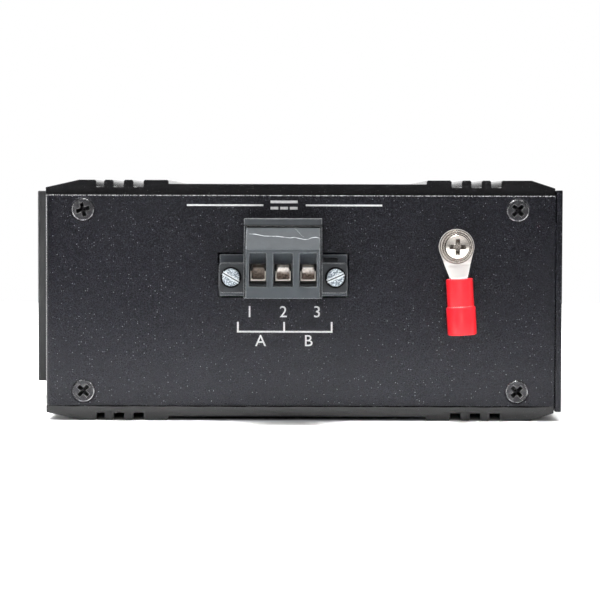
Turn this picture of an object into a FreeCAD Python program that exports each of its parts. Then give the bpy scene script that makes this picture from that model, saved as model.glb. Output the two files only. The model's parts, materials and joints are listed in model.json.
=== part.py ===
import FreeCAD, Part
import Sketcher
import os
import re

# An industrial ethernet switch for a 35 mm rail, lying on its finned side wall.
# +X points out of the port panel, +Y away from the power terminal, +Z up through the two walls.
# The origin is at the bottom centre of the whole object.

# Driving dimensions, in millimetres and degrees
SIZES = {
    # extruded side walls
    "wall_width": 105.7,
    "wall_length": 150.0,
    "case_height": 50.0,
    "wall_thickness": 4.2,
    "rib_depth": 1.5,
    "recess_depth": 0.8,
    "recess_width": 53.5,
    "rib_shift": -0.6,
    "groove_width": 2.1,
    "edge_groove_width": 1.6,
    "groove_pitch": 4.1,
    "groove_offset": 33.0,
    "back_bevel": 7.0,
    "front_bevel": 4.9,
    "bevel_rise": 1.6,
    "tooth_bevel": 0.3,
    "boss_width": 5.2,
    "boss_height": 4.6,
    "bore_room": 0.05,
    "seam_gap": 0.1,
    # folded tray
    "plate_inset": 3.15,
    "plate_sheet": 1.2,
    "bend_radius": 0.4,
    "cutout_gap": 0.3,
    # end plate screws
    "end_screw_setback": 7.85,
    "end_screw_inset": 6.2,
    "end_screw_radius": 1.2,
    "end_screw_length": 8.0,
    "sink_room": 0.1,
    # port panel and its screws
    "panel_inset": 2.0,
    "panel_sheet": 1.25,
    "panel_gap": 0.15,
    "panel_screw_inset": 5.5,
    "panel_screw_radius": 1.1,
    "panel_screw_length": 6.5,
    "panel_hole_depth": 6.0,
    "thread_room": 0.05,
    # rail bracket
    "rail_width": 35.0,
    "rail_room": 1.9,
    "rail_play": 0.3,
    "hook_cover": 2.2,
    "release_cover": 0.9,
    "hook_lead": 1.2,
    "hook_wall": 3.5,
    "hook_rounding": 0.8,
    "bracket_base": 3.0,
    "bracket_depth": 7.9,
    "bracket_low_inset": 4.0,
    "bracket_high_inset": 2.0,
    "spring_room": 5.0,
    "spring_width": 1.4,
    "spring_thickness": 0.6,
    "spring_inset": 4.0,
    "spring_bow": 3.0,
    "din_screw_inset": 10.0,
    "din_screw_radius": 1.5,
    "din_screw_length": 7.0,
    "din_head_radius": 2.75,
    "din_head_height": 2.0,
    "din_hole_room": 0.1,
    # main board and its standoffs
    "block_headroom": 1.8,
    "board_thickness": 1.6,
    "board_back_gap": 6.85,
    "board_front_gap": 1.35,
    "board_end_gap": 1.5,
    "standoff_side_inset": 14.85,
    "standoff_end_inset": 9.0,
    "standoff_across_corners": 5.8,
    "stud_across_corners": 3.0,
    "stud_height": 1.4,
    "stud_room": 0.1,
    # power terminal: header on the board
    "terminal_x": -3.5,
    "pole_count": 3,
    "pole_pitch": 5.08,
    "pole_lift": 4.0,
    "header_width": 26.4,
    "header_height": 8.6,
    "header_depth": 12.0,
    "socket_depth": 9.0,
    "socket_room": 0.2,
    "pin_width": 1.0,
    "pin_setback": 2.5,
    "pin_drop_gap": 0.6,
    "pin_tail": 1.2,
    "pin_room": 0.05,
    "bush_inset": 2.5,
    "bush_width": 4.0,
    "bush_bore_radius": 1.2,
    "bush_length": 5.0,
    # power terminal: plug
    "plug_width": 15.8,
    "plug_height": 16.1,
    "plug_reach": 12.5,
    "plug_gap": 0.2,
    "front_height": 9.9,
    "slope_height": 4.7,
    "slope_run": 3.0,
    "cheek_width": 0.45,
    "cheek_setback": 0.25,
    "lip_overhang": 0.5,
    "flange_lift": 0.8,
    "flange_height": 6.2,
    "flange_depth": 5.2,
    "flange_rounding": 0.8,
    "tongue_width": 15.6,
    "tongue_height": 6.4,
    "tongue_length": 8.6,
    "chin_height": 2.4,
    "opening_width": 3.5,
    "middle_opening_width": 4.0,
    "opening_height": 6.8,
    "funnel_depth": 4.0,
    "funnel_drop": 2.3,
    "chamber_sill": 0.5,
    "chamber_depth": 5.0,
    "chamber_height": 10.8,
    "screw_setback": 6.3,
    "screw_well_radius": 2.0,
    "screw_shelf": 0.5,
    "screw_shelf_width": 2.6,
    # clamps and contacts in the plug
    "cage_width": 3.1,
    "cage_height": 7.0,
    "cage_depth": 3.8,
    "cage_side": 0.4,
    "cage_floor": 0.6,
    "cage_top": 1.4,
    "cage_gap": 0.2,
    "cage_bore_radius": 1.25,
    "clamp_screw_radius": 1.1,
    "clamp_head_radius": 1.85,
    "clamp_head_height": 1.6,
    "clamp_head_gap": 0.1,
    "clamp_tip_gap": 0.2,
    "slot_width": 0.6,
    "slot_depth": 0.7,
    "leaf_thickness": 0.6,
    "leaf_width": 1.9,
    "leaf_lift": 4.2,
    "leaf_setback": 0.6,
    "leaf_bend": 0.15,
    "riser_width": 2.7,
    "riser_lift": 0.6,
    "contact_width": 1.7,
    "contact_bore": 1.1,
    "contact_room": 0.05,
    "contact_end_gap": 0.3,
    # plug flange screws
    "flange_hole_radius": 1.4,
    "flange_head_radius": 1.8,
    "flange_head_height": 1.6,
    "flange_well_depth": 1.0,
    "flange_well_room": 0.2,
    "flange_screw_radius": 1.15,
    "flange_screw_length": 8.6,
    "left_slot_turn": -30.0,
    "right_slot_turn": 24.0,
    # earth point
    "ground_x": 32.3,
    "ground_lift": 11.3,
    "ground_screw_radius": 1.5,
    "ground_screw_length": 8.0,
    "ground_hole_radius": 1.65,
    "ground_head_radius": 2.55,
    "ground_head_height": 2.0,
    "cross_reach": 1.45,
    "cross_width": 0.62,
    "cross_depth": 1.0,
    "spring_washer_radius": 2.95,
    "spring_washer_thickness": 0.7,
    "spring_washer_split": 0.5,
    "flat_washer_radius": 3.45,
    "flat_washer_thickness": 0.5,
    "ground_nut_across_corners": 6.4,
    "ground_nut_length": 2.4,
    # ring lug and its sleeve
    "lug_tilt": -3.4,
    "lug_radius": 3.65,
    "lug_sheet": 0.8,
    "tongue_strip_width": 3.7,
    "tongue_shoulder": 1.5,
    "tongue_bend_start": 3.7,
    "barrel_start": 6.4,
    "barrel_length": 5.6,
    "barrel_radius": 1.7,
    "barrel_wall": 0.8,
    "barrel_stand": 3.35,
    "sleeve_start": 6.5,
    "sleeve_length": 11.6,
    "sleeve_grip_length": 5.8,
    "sleeve_grip_radius": 2.75,
    "sleeve_radius": 3.0,
    "sleeve_bore_radius": 2.3,
    "sleeve_fit": 0.02,
    # two ganged port blocks
    "port_count": 4,
    "port_pitch": 14.0,
    "block_margin": 0.5,
    "block_gap": 5.0,
    "block_height": 13.4,
    "block_depth": 25.4,
    "window_gap": 0.3,
    "shield_sheet": 0.3,
    "insert_room": 0.05,
    "port_width": 11.9,
    "port_height": 7.0,
    "port_lift": 1.6,
    "port_depth": 15.0,
    "latch_width": 6.4,
    "latch_height": 1.5,
    "latch_slot_width": 3.4,
    "latch_slot_height": 1.6,
    "contact_count": 8,
    "contact_pitch": 1.02,
    "wire_width": 0.4,
    "wire_rise": 3.2,
    "wire_front": 3.0,
    "wire_back": 10.5,
    # status lights
    "light_count": 3,
    "light_pitch": 4.0,
    "light_gap": 3.0,
    "light_lift": 3.5,
    "pipe_width": 2.6,
    "pipe_room": 0.05,
    "pipe_length": 8.55,
    "pipe_proud": 0.3,
    "light_block_width": 3.4,
    "light_block_height": 5.2,
    "light_block_depth": 4.0,
    # parts on the board
    "chip_width": 20.0,
    "chip_height": 1.4,
    "chip_x": -8.0,
    "pad_height": 1.0,
    "heat_block_width": 18.0,
    "magnetics_width": 28.0,
    "magnetics_depth": 14.0,
    "magnetics_height": 6.0,
    "magnetics_gap": 3.85,
    "inductor_width": 12.0,
    "inductor_height": 7.0,
    "inductor_setback": 13.0,
    "inductor_y": -40.0,
    "capacitor_width": 8.0,
    "capacitor_height": 12.0,
    "capacitor_count": 2,
    "capacitor_pitch": 11.0,
    "capacitor_setback": 12.0,
    "capacitor_y": -18.0,
    "memory_width": 6.0,
    "memory_depth": 9.0,
    "memory_height": 1.2,
    "memory_count": 3,
    "memory_pitch": 14.0,
    "memory_setback": 13.0,
    "memory_y": 22.0,
}

# Places that follow from the driving dimensions, measured from the middle of the walls' footprint
PLACES = {
    "shift_x": "(bracket_depth - panel_gap - panel_sheet - pipe_proud) / 2",
    "shift_y": "plug_reach / 2",
    "half_wall": "wall_width / 2",
    "end_head_radius": "end_screw_radius + plate_sheet",
    "end_screw_spacing": "wall_width - 2 * end_screw_setback",
    "end_screw_rise": "case_height - 2 * end_screw_inset",
    "panel_head_radius": "panel_screw_radius + panel_sheet",
    "panel_height": "case_height - 2 * panel_inset",
    "panel_screw_rise": "case_height - 2 * panel_screw_inset",
    "near_face": "-(wall_length / 2 + plate_sheet)",
    "far_face": "wall_length / 2 + plate_sheet",
    "middle": "case_height / 2",
    "plate_low": "plate_inset",
    "plate_height": "case_height - 2 * plate_inset",
    "panel_back": "half_wall + panel_gap",
    "panel_face": "panel_back + panel_sheet",
    "block_top": "case_height - wall_thickness - boss_height - block_headroom",
    "board_top": "block_top - block_height",
    "board_low": "board_top - board_thickness",
    "board_back": "half_wall - board_back_gap",
    "board_front": "half_wall - board_front_gap",
    "standoff_spacing": "wall_width - 2 * standoff_side_inset",
    "standoff_length": "wall_length - 2 * standoff_end_inset",
    "bracket_width": "case_height - bracket_low_inset - bracket_high_inset",
    "bracket_middle": "bracket_low_inset + bracket_width / 2",
    "bracket_seat": "half_wall + bracket_base",
    "din_screw_rise": "bracket_width - 2 * din_screw_inset",
    "spring_span": "bracket_width - 2 * spring_inset",
    "pole_height": "board_top + pole_lift",
    "entry_face": "near_face - plug_reach",
    "first_pole": "terminal_x - (pole_count - 1) * pole_pitch / 2",
    "pin_line": "near_face + header_depth + pin_drop_gap",
    "bush_spacing": "header_width - 2 * bush_inset",
    "opening_low": "board_top + chin_height",
    "chamber_front": "entry_face + funnel_depth",
    "chamber_back": "chamber_front + chamber_depth",
    "chamber_top": "opening_low + chamber_height",
    "screw_line": "entry_face + screw_setback",
    "slope_low": "board_top + front_height",
    "slope_high": "slope_low + slope_height",
    "chamber_low": "opening_low + chamber_sill",
    "cage_low": "chamber_low + cage_gap",
    "leaf_low": "opening_low + leaf_lift",
    "leaf_top": "leaf_low + leaf_thickness",
    "screw_seat": "chamber_top + screw_shelf",
    "clamp_head_low": "screw_seat + clamp_head_gap",
    "clamp_head_top": "clamp_head_low + clamp_head_height",
    "ground_height": "middle + ground_lift",
    "block_width": "port_count * port_pitch + 2 * block_margin",
    "block_spacing": "block_width + block_gap",
    "block_back": "panel_face - block_depth",
    "port_floor": "board_top + port_lift",
    "pipe_back": "panel_face + pipe_proud - pipe_length",
    "light_first_y": "(block_spacing + block_width) / 2 + light_gap",
    "magnetics_x": "block_back - magnetics_gap - magnetics_depth / 2",
    "inductor_x": "-board_back + inductor_setback",
    "capacitor_x": "-board_back + capacitor_setback",
    "memory_x": "-board_back + memory_setback",
}

# Sketch planes, with the sign of their normal along the world axis
PLANES = {"XY": ("XY_Plane", 1), "XZ": ("XZ_Plane", -1), "YZ": ("YZ_Plane", 1)}
WORD = re.compile(r"[a-z_][a-z_0-9]*")

# Countersinks open at 90 degrees in all, so a head stands out from its shank by the sheet's thickness
SINK_TAPER = 45

doc = FreeCAD.newDocument("industrial_ethernet_switch")
sheet = doc.addObject("Spreadsheet::Sheet", "sizes")
for row, (alias, value) in enumerate(SIZES.items(), start=1):
    sheet.set(f"A{row}", alias)
    sheet.set(f"B{row}", str(value))
    sheet.setAlias(f"B{row}", alias)
doc.recompute()
pieces = []


def formula(text):
    """Spell out a text of sizes and places as an expression on the sheet's cells."""

    def spell(match):
        word = match.group(0)
        if word in PLACES:
            return f"({formula(PLACES[word])})"
        return f"sizes.{word}" if word in SIZES else word

    return WORD.sub(spell, str(text))


def number(text):
    """The present value of a text of sizes and places."""
    return float(sheet.evalExpression(formula(text)))


def bind(item, prop, text):
    """Tie a property to the sheet."""
    item.setExpression(prop, formula(text))


def new_piece(label, x="0", y="0", z="0"):
    """Start a named sub-part, whose own origin lies at x, y, z on the case."""
    body = doc.addObject("PartDesign::Body", label)
    body.Label = label
    bind(body, "Placement.Base.x", f"shift_x + {x}")
    bind(body, "Placement.Base.y", f"shift_y + {y}")
    bind(body, "Placement.Base.z", z)
    pieces.append(body)
    return body


def origin_part(body, role):
    """One of a body's own origin planes or axes."""
    return next(part for part in body.Origin.OriginFeatures if part.Role == role)


def new_sketch(body, plane, at="0", u="0", v="0"):
    """An empty sketch on a plane moved to `at`, with its own origin at u, v."""
    role, sign = PLANES[plane]
    sketch = body.newObject("Sketcher::SketchObject", f"{body.Name}_sketch")
    sketch.AttachmentSupport = [(origin_part(body, role), "")]
    sketch.MapMode = "FlatFace"
    bind(sketch, "AttachmentOffset.Base.x", u)
    bind(sketch, "AttachmentOffset.Base.y", v)
    bind(sketch, "AttachmentOffset.Base.z", at if sign > 0 else f"-({at})")
    return sketch


def fix(sketch, wanted):
    """Add constraints given as (constraint arguments, text) and tie each to its text."""
    made = sketch.addConstraint([Sketcher.Constraint(*head, number(text)) for head, text in wanted])
    for index, (_, text) in zip(made, wanted):
        sketch.setExpression(f"Constraints[{index}]", formula(text))


def draw_outline(sketch, points):
    """A closed outline of straight lines through points given as texts."""
    spots = [FreeCAD.Vector(number(u), number(v), 0) for u, v in points]
    first = sketch.GeometryCount
    sketch.addGeometry([Part.LineSegment(a, b) for a, b in zip(spots, spots[1:] + spots[:1])])
    count = len(points)
    sketch.addConstraint(
        [Sketcher.Constraint("Coincident", first + (i - 1) % count, 2, first + i, 1) for i in range(count)]
    )
    wanted = []
    for i, (u, v) in enumerate(points):
        wanted.append((("DistanceX", -1, 1, first + i, 1), u))
        wanted.append((("DistanceY", -1, 1, first + i, 1), v))
    fix(sketch, wanted)


def draw_circle(sketch, u, v, radius):
    """A circle whose centre and radius are given as texts."""
    centre = FreeCAD.Vector(number(u), number(v), 0)
    ring = sketch.addGeometry(Part.Circle(centre, FreeCAD.Vector(0, 0, 1), number(radius)))
    wanted = [
        (("DistanceX", -1, 1, ring, 3), u),
        (("DistanceY", -1, 1, ring, 3), v),
        (("Radius", ring), radius),
    ]
    fix(sketch, wanted)


def draw(sketch, loops):
    """Draw outlines, which are lists of points, and circles, which are tuples of u, v and radius."""
    for loop in loops:
        if isinstance(loop, tuple):
            draw_circle(sketch, *loop)
        else:
            draw_outline(sketch, loop)


def extrude(kind, body, plane, at, length, *loops, taper=0):
    """A Pad or Pocket that starts at `at` and runs towards the plus side of the plane's axis."""
    sketch = new_sketch(body, plane, at)
    draw(sketch, loops)
    feature = body.newObject(f"PartDesign::{kind}", f"{body.Name}_{kind.lower()}")
    feature.Profile = sketch
    feature.Reversed = (PLANES[plane][1] < 0) == (kind == "Pad")
    feature.TaperAngle = taper
    bind(feature, "Length", length)
    return feature


def add(body, plane, at, length, *loops):
    """Add a straight solid."""
    return extrude("Pad", body, plane, at, length, *loops)


def cut(body, plane, at, length, *loops, taper=0):
    """Cut a straight or tapered hole."""
    return extrude("Pocket", body, plane, at, length, *loops, taper=taper)


def turn(body, plane, at, u, v, points, axis="V_Axis", kind="Revolution"):
    """Add or cut a turned solid: points are radius and length from u, v on the axis of the sketch."""
    sketch = new_sketch(body, plane, at, u, v)
    draw_outline(sketch, points)
    feature = body.newObject(f"PartDesign::{kind}", f"{body.Name}_{kind.lower()}")
    feature.Profile = sketch
    feature.ReferenceAxis = (sketch, [axis])
    feature.Angle = 360
    return feature


def repeat(body, features, axis, spacing, count, axis2=None, spacing2="0", count2="1"):
    """Repeat features in a row along one of the body's axes, or in a grid along two."""
    pattern = body.newObject("PartDesign::LinearPattern", f"{body.Name}_row")
    pattern.Originals = features
    pattern.Direction = (origin_part(body, axis), [""])
    bind(pattern, "Length", f"({spacing}) * ({count} - 1)")
    bind(pattern, "Occurrences", count)
    if axis2:
        pattern.Direction2 = (origin_part(body, axis2), [""])
        bind(pattern, "Length2", f"({spacing2}) * ({count2} - 1)")
        bind(pattern, "Occurrences2", count2)
    body.Tip = pattern
    return pattern


def round_edges(body, radius, wanted):
    """Fillet the edges of the body that `wanted` picks."""
    doc.recompute()
    base = body.Tip
    names = [f"Edge{i}" for i, edge in enumerate(base.Shape.Edges, start=1) if wanted(edge)]
    fillet = body.newObject("PartDesign::Fillet", f"{body.Name}_fillet")
    fillet.Base = (base, names)
    bind(fillet, "Radius", radius)
    return fillet


def runs_along(edge, axis, **places):
    """Whether an edge is straight along an axis and lies at the given places on the other axes."""
    box = edge.BoundBox
    lengths = {"x": box.XLength, "y": box.YLength, "z": box.ZLength}
    middle = {"x": box.Center.x, "y": box.Center.y, "z": box.Center.z}
    tiny = 1e-4
    straight = all((lengths[name] > tiny) == (name == axis) for name in lengths)
    return straight and all(
        any(abs(middle[name] - number(text)) < tiny for text in texts) for name, texts in places.items()
    )


def rectangle(low_u, low_v, high_u, high_v):
    """The four corners of an upright rectangle."""
    return [(low_u, low_v), (high_u, low_v), (high_u, high_v), (low_u, high_v)]


def centred(u, v, width, height):
    """The four corners of an upright rectangle about its middle."""
    return rectangle(
        f"{u} - ({width}) / 2", f"{v} - ({height}) / 2", f"{u} + ({width}) / 2", f"{v} + ({height}) / 2"
    )


def turned_slot(u, v, half_length, width, angle):
    """The corners of a long rectangle about its middle, turned by an angle."""
    corners = []
    for along, across in ((-1, -1), (1, -1), (1, 1), (-1, 1)):
        far = f"({along} * ({half_length}))"
        side = f"({across} * ({width}) / 2)"
        corners.append(
            (
                f"{u} + {far} * cos({angle}) - {side} * sin({angle})",
                f"{v} + {far} * sin({angle}) + {side} * cos({angle})",
            )
        )
    return corners


def hexagon(u, v, across_corners):
    """The six corners of a hexagon about its middle."""
    corner = f"({across_corners}) / 2"
    angles = range(0, 360, 60)
    return [(f"{u} + {corner} * cos({angle})", f"{v} + {corner} * sin({angle})") for angle in angles]


def thread(u, v, radius):
    """The section of a thread, drawn as a hexagon inside its circle so that it costs few faces."""
    return hexagon(u, v, f"2 * ({radius})")


def screw_hole(u, v, radius):
    """The section of a hole that its screw hides, drawn as a hexagon about its circle."""
    return hexagon(u, v, f"2 * ({radius}) / cos(30)")


def cross(u, v):
    """A cross recess: twelve corners about its middle."""
    arm = "cross_reach"
    half = "cross_width / 2"
    quarter = [(arm, f"-{half}"), (arm, half), (half, half)]
    points = []
    for cosine, sine in ((1, 0), (0, 1), (-1, 0), (0, -1)):
        for a, b in quarter:
            across = f"{u} + ({cosine}) * {a} - ({sine}) * ({b})"
            up = f"{v} + ({sine}) * {a} + ({cosine}) * ({b})"
            points.append((across, up))
    return points


def groove(low, high, depth):
    """The points of one groove in a wall's outer face, with bevelled lips."""
    return [
        (f"{low} - tooth_bevel", "0"),
        (low, "tooth_bevel"),
        (low, depth),
        (high, depth),
        (high, "tooth_bevel"),
        (f"{high} + tooth_bevel", "0"),
    ]


def side_wall(label, level):
    """One extruded wall: level turns a depth under the rib tops into a height on the case."""
    body = new_piece(label)
    ridge = []
    for index in (2, 1, 0):
        inner = f"rib_shift - groove_offset - {index} * groove_pitch + groove_width / 2"
        width = "edge_groove_width" if index == 2 else "groove_width"
        ridge += groove(f"{inner} - {width}", inner, "rib_depth")
    ridge += groove("rib_shift - recess_width / 2", "rib_shift + recess_width / 2", "recess_depth")
    for index in (0, 1, 2):
        inner = f"rib_shift + groove_offset + {index} * groove_pitch - groove_width / 2"
        ridge += groove(inner, f"{inner} + groove_width", "rib_depth")
    seam = "plate_low - seam_gap"
    web = "-half_wall + plate_sheet + bend_radius + seam_gap"
    boss_depth = "wall_thickness + boss_height"
    back_boss = ["-end_screw_spacing / 2 + boss_width / 2", "-end_screw_spacing / 2 - boss_width / 2"]
    profile = [("-half_wall", seam), ("-half_wall", "bevel_rise"), ("-half_wall + back_bevel", "0")]
    profile += ridge
    profile += [("half_wall - front_bevel", "0"), ("half_wall", "bevel_rise"), ("half_wall", boss_depth)]
    profile += [("end_screw_spacing / 2 - boss_width / 2", depth) for depth in (boss_depth, "wall_thickness")]
    profile += [(back_boss[0], "wall_thickness"), (back_boss[0], boss_depth)]
    profile += [(back_boss[1], boss_depth), (back_boss[1], "wall_thickness")]
    profile += [(web, "wall_thickness"), (web, seam)]
    outline = [(x, level(depth)) for x, depth in profile]
    screw_level = level("end_screw_inset")
    channels = [
        screw_hole(f"{sign}end_screw_spacing / 2", screw_level, "end_screw_radius + bore_room")
        for sign in ("-", "")
    ]
    add(body, "XZ", "-wall_length / 2", "wall_length", outline, *channels)
    panel_hole = screw_hole("0", level("panel_screw_inset"), "panel_screw_radius + thread_room")
    cut(body, "YZ", "half_wall - panel_hole_depth", "panel_hole_depth", panel_hole)
    return body


def corner_spots(width, height, radius, middle_v):
    """Four circles, or other round sections, at the corners of a rectangle."""
    return [
        (f"{u}({width}) / 2", f"{middle_v} {v} ({height}) / 2", radius) for u in ("-", "") for v in ("-", "+")
    ]


def chassis_tray():
    """The folded sheet: both end plates and the back web."""
    body = new_piece("chassis_tray")
    back = "-half_wall"
    inner_back = "-half_wall + plate_sheet"
    outline = [
        ("half_wall", "near_face"),
        ("half_wall", "near_face + plate_sheet"),
        (inner_back, "near_face + plate_sheet"),
        (inner_back, "far_face - plate_sheet"),
        ("half_wall", "far_face - plate_sheet"),
        ("half_wall", "far_face"),
        (back, "far_face"),
        (back, "near_face"),
    ]
    add(body, "XY", "plate_low", "plate_height", outline)
    round_edges(
        body,
        "bend_radius + plate_sheet",
        lambda edge: runs_along(edge, "z", x=[back], y=["near_face", "far_face"]),
    )
    inner_ends = ["near_face + plate_sheet", "far_face - plate_sheet"]
    round_edges(body, "bend_radius", lambda edge: runs_along(edge, "z", x=[inner_back], y=inner_ends))
    window = centred(
        "terminal_x", "board_top + header_height / 2", "header_width + 2 * cutout_gap",
        "header_height + 2 * cutout_gap",
    )
    cut(body, "XZ", "near_face", "plate_sheet", window, ("ground_x", "ground_height", "ground_hole_radius"))
    near_sinks = corner_spots("end_screw_spacing", "end_screw_rise", "end_head_radius + sink_room", "middle")
    cut(body, "XZ", "near_face", "plate_sheet", *near_sinks, taper=-SINK_TAPER)
    far_sinks = corner_spots("end_screw_spacing", "end_screw_rise", "end_screw_radius + sink_room", "middle")
    cut(body, "XZ", "far_face - plate_sheet", "plate_sheet", *far_sinks, taper=SINK_TAPER)
    threads = [screw_hole(*spot) for spot in din_spots("din_screw_radius + thread_room")]
    cut(body, "YZ", back, "plate_sheet", *threads)
    return body


def end_screws():
    """Eight countersunk screws, four through each end plate into the walls' channels."""
    body = new_piece("end_screws")
    head = [("0", "0"), ("end_head_radius", "0"), ("end_screw_radius", "plate_sheet"), ("0", "plate_sheet")]
    x = "-end_screw_spacing / 2"
    z = "end_screw_inset"
    shank = thread(x, z, "end_screw_radius")
    shank_length = "end_screw_length - plate_sheet"
    screws = [
        turn(body, "XY", z, x, "near_face", head),
        add(body, "XZ", "near_face + plate_sheet", shank_length, shank),
        turn(body, "XY", z, x, "far_face", [(radius, f"-({depth})") for radius, depth in head]),
        add(body, "XZ", "far_face - end_screw_length", shank_length, shank),
    ]
    repeat(body, screws, "X_Axis", "end_screw_spacing", "2", "Z_Axis", "end_screw_rise", "2")
    return body


def front_panel():
    """The flat port panel with its windows, light holes and countersinks."""
    body = new_piece("front_panel")
    sheet_edge = centred("0", "middle", "2 * far_face", "panel_height")
    windows = [
        centred(
            f"{side}block_spacing / 2", "board_top + block_height / 2", "block_width + 2 * window_gap",
            "block_height + 2 * window_gap",
        )
        for side in ("-", "")
    ]
    add(body, "YZ", "panel_back", "panel_sheet", sheet_edge, *windows)
    hole_width = "pipe_width + 2 * pipe_room"
    light = centred("light_first_y", "board_top + light_lift", hole_width, hole_width)
    hole = cut(body, "YZ", "panel_back", "panel_sheet", light)
    repeat(body, [hole], "Y_Axis", "light_pitch", "light_count")
    sinks = [("0", f"middle {side} panel_screw_rise / 2", "panel_screw_radius + sink_room") for side in "-+"]
    cut(body, "YZ", "panel_back", "panel_sheet", *sinks, taper=SINK_TAPER)
    return body


def panel_screws():
    """Two countersunk screws through the port panel into the walls' front bosses."""
    body = new_piece("panel_screws")
    profile = [
        ("0", "0"),
        ("0", "panel_head_radius"),
        ("-panel_sheet", "panel_screw_radius"),
        ("-panel_sheet", "0"),
    ]
    z = "panel_screw_inset"
    head = turn(body, "XY", z, "panel_face", "0", profile, axis="H_Axis")
    shank = add(
        body, "YZ", "panel_face - panel_screw_length", "panel_screw_length - panel_sheet",
        thread("0", z, "panel_screw_radius"),
    )
    repeat(body, [head, shank], "Z_Axis", "panel_screw_rise", "2")
    return body


def din_spots(radius):
    """The circles of the two bracket screws."""
    return [("0", f"bracket_middle {side} din_screw_rise / 2", radius) for side in "-+"]


def din_bracket():
    """The rail bracket: a seat between a fixed hook and a sprung hook."""
    body = new_piece("din_bracket")
    seat = "-bracket_seat"
    slot = f"{seat} - rail_room"
    outer = "-half_wall - bracket_depth"
    fixed = "rail_width / 2 + rail_play"
    sprung = "-(rail_width / 2 + spring_room)"
    fixed_lip = "rail_width / 2 - hook_cover"
    sprung_lip = "-(rail_width / 2 - release_cover)"
    outline = [
        ("-half_wall", f"{sprung} - hook_wall"),
        ("-half_wall", f"{fixed} + hook_wall"),
        (outer, f"{fixed} + hook_wall"),
        (outer, f"{fixed_lip} + hook_lead"),
        (slot, fixed_lip),
        (slot, fixed),
        (seat, fixed),
        (seat, sprung),
        (slot, sprung),
        (slot, sprung_lip),
        (outer, f"{sprung_lip} - hook_lead"),
        (outer, f"{sprung} - hook_wall"),
    ]
    add(body, "XY", "bracket_middle - bracket_width / 2", "bracket_width", outline)
    ends = [f"{sprung} - hook_wall", f"{fixed} + hook_wall"]
    round_edges(body, "hook_rounding", lambda edge: runs_along(edge, "z", x=[outer], y=ends))
    holes = [screw_hole(*spot) for spot in din_spots("din_screw_radius + din_hole_room")]
    cut(body, "YZ", seat, "bracket_base", *holes)
    return body


def din_spring():
    """The bowed strip that pushes the rail against the fixed hook."""
    body = new_piece("din_spring")
    bow_radius = "((spring_span / 2)^2 + spring_bow^2) / (2 * spring_bow)"
    slot_floor = "-(rail_width / 2 + spring_room)"
    centre = f"{slot_floor} + spring_bow - {bow_radius}"
    sketch = new_sketch(body, "XY", "bracket_middle", "-bracket_seat - rail_room / 2", centre)
    half = "spring_width / 2"
    draw(sketch, [rectangle(f"-{half}", bow_radius, half, f"{bow_radius} + spring_thickness")])
    wire = body.newObject("PartDesign::Revolution", "din_spring_arc")
    wire.Profile = sketch
    wire.ReferenceAxis = (sketch, ["H_Axis"])
    wire.Midplane = True
    bind(wire, "Angle", f"2 * asin(spring_span / 2 / ({bow_radius}))")
    return body


def din_screws():
    """Two cheese-head screws through the bracket into the back web."""
    body = new_piece("din_screws")
    z = "bracket_middle - din_screw_rise / 2"
    disc = ("0", z, "din_head_radius")
    head = add(body, "YZ", "-bracket_seat - din_head_height", "din_head_height", disc)
    shank = add(body, "YZ", "-bracket_seat", "din_screw_length", thread("0", z, "din_screw_radius"))
    repeat(body, [head, shank], "Z_Axis", "din_screw_rise", "2")
    return body


def main_board():
    """The circuit board with its stud holes and pin slots."""
    body = new_piece("main_board")
    end = "wall_length / 2 - board_end_gap"
    edge = rectangle("-board_back", f"-({end})", "board_front", end)
    spots = corner_spots("standoff_spacing", "standoff_length", "stud_across_corners + 2 * stud_room", "0")
    add(body, "XY", "board_low", "board_thickness", edge, *[hexagon(*spot) for spot in spots])
    slot_width = "pin_width + 2 * pin_room"
    slot = centred("first_pole", "pin_line + pin_width / 2", slot_width, slot_width)
    pin_slot = cut(body, "XY", "board_low", "board_thickness", slot)
    repeat(body, [pin_slot], "X_Axis", "pole_pitch", "pole_count")
    return body


def standoffs():
    """Four hexagonal snap-top standoffs, whose studs go through the board."""
    body = new_piece("standoffs")
    x = "-standoff_spacing / 2"
    y = "-standoff_length / 2"
    column = hexagon(x, y, "standoff_across_corners")
    post = add(body, "XY", "wall_thickness", "board_low - wall_thickness", column)
    snap = hexagon(x, y, "stud_across_corners")
    stud = add(body, "XY", "board_low", "board_thickness + stud_height", snap)
    repeat(body, [post, stud], "X_Axis", "standoff_spacing", "2", "Y_Axis", "standoff_length", "2")
    return body


def power_header():
    """The moulded header: socket for the plug, pin holes and bush pockets."""
    body = new_piece("power_header")
    block = centred("terminal_x", "board_top + header_height / 2", "header_width", "header_height")
    add(body, "XZ", "near_face", "header_depth", block)
    socket = centred(
        "terminal_x", "pole_height", "tongue_width + 2 * socket_room", "tongue_height + 2 * socket_room"
    )
    cut(body, "XZ", "near_face", "socket_depth", socket)
    for side in "-+":
        pocket = centred(f"terminal_x {side} bush_spacing / 2", "pole_height", "bush_width", "bush_width")
        cut(body, "XZ", "near_face", "bush_length", pocket)
    hole_width = "pin_width + 2 * pin_room"
    pin_hole = centred("first_pole", "pole_height", hole_width, hole_width)
    hole = cut(body, "XZ", "near_face + socket_depth", "header_depth - socket_depth", pin_hole)
    repeat(body, [hole], "X_Axis", "pole_pitch", "pole_count")
    return body


def header_pins():
    """Three square pins, bent down through the board."""
    body = new_piece("header_pins")
    tip = "near_face + pin_setback"
    low = "pole_height - pin_width / 2"
    high = "pole_height + pin_width / 2"
    tail = "board_low - pin_tail"
    bent = [
        (tip, low),
        (tip, high),
        ("pin_line + pin_width", high),
        ("pin_line + pin_width", tail),
        ("pin_line", tail),
        ("pin_line", low),
    ]
    pin = add(body, "YZ", "first_pole - pin_width / 2", "pin_width", bent)
    repeat(body, [pin], "X_Axis", "pole_pitch", "pole_count")
    return body


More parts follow.
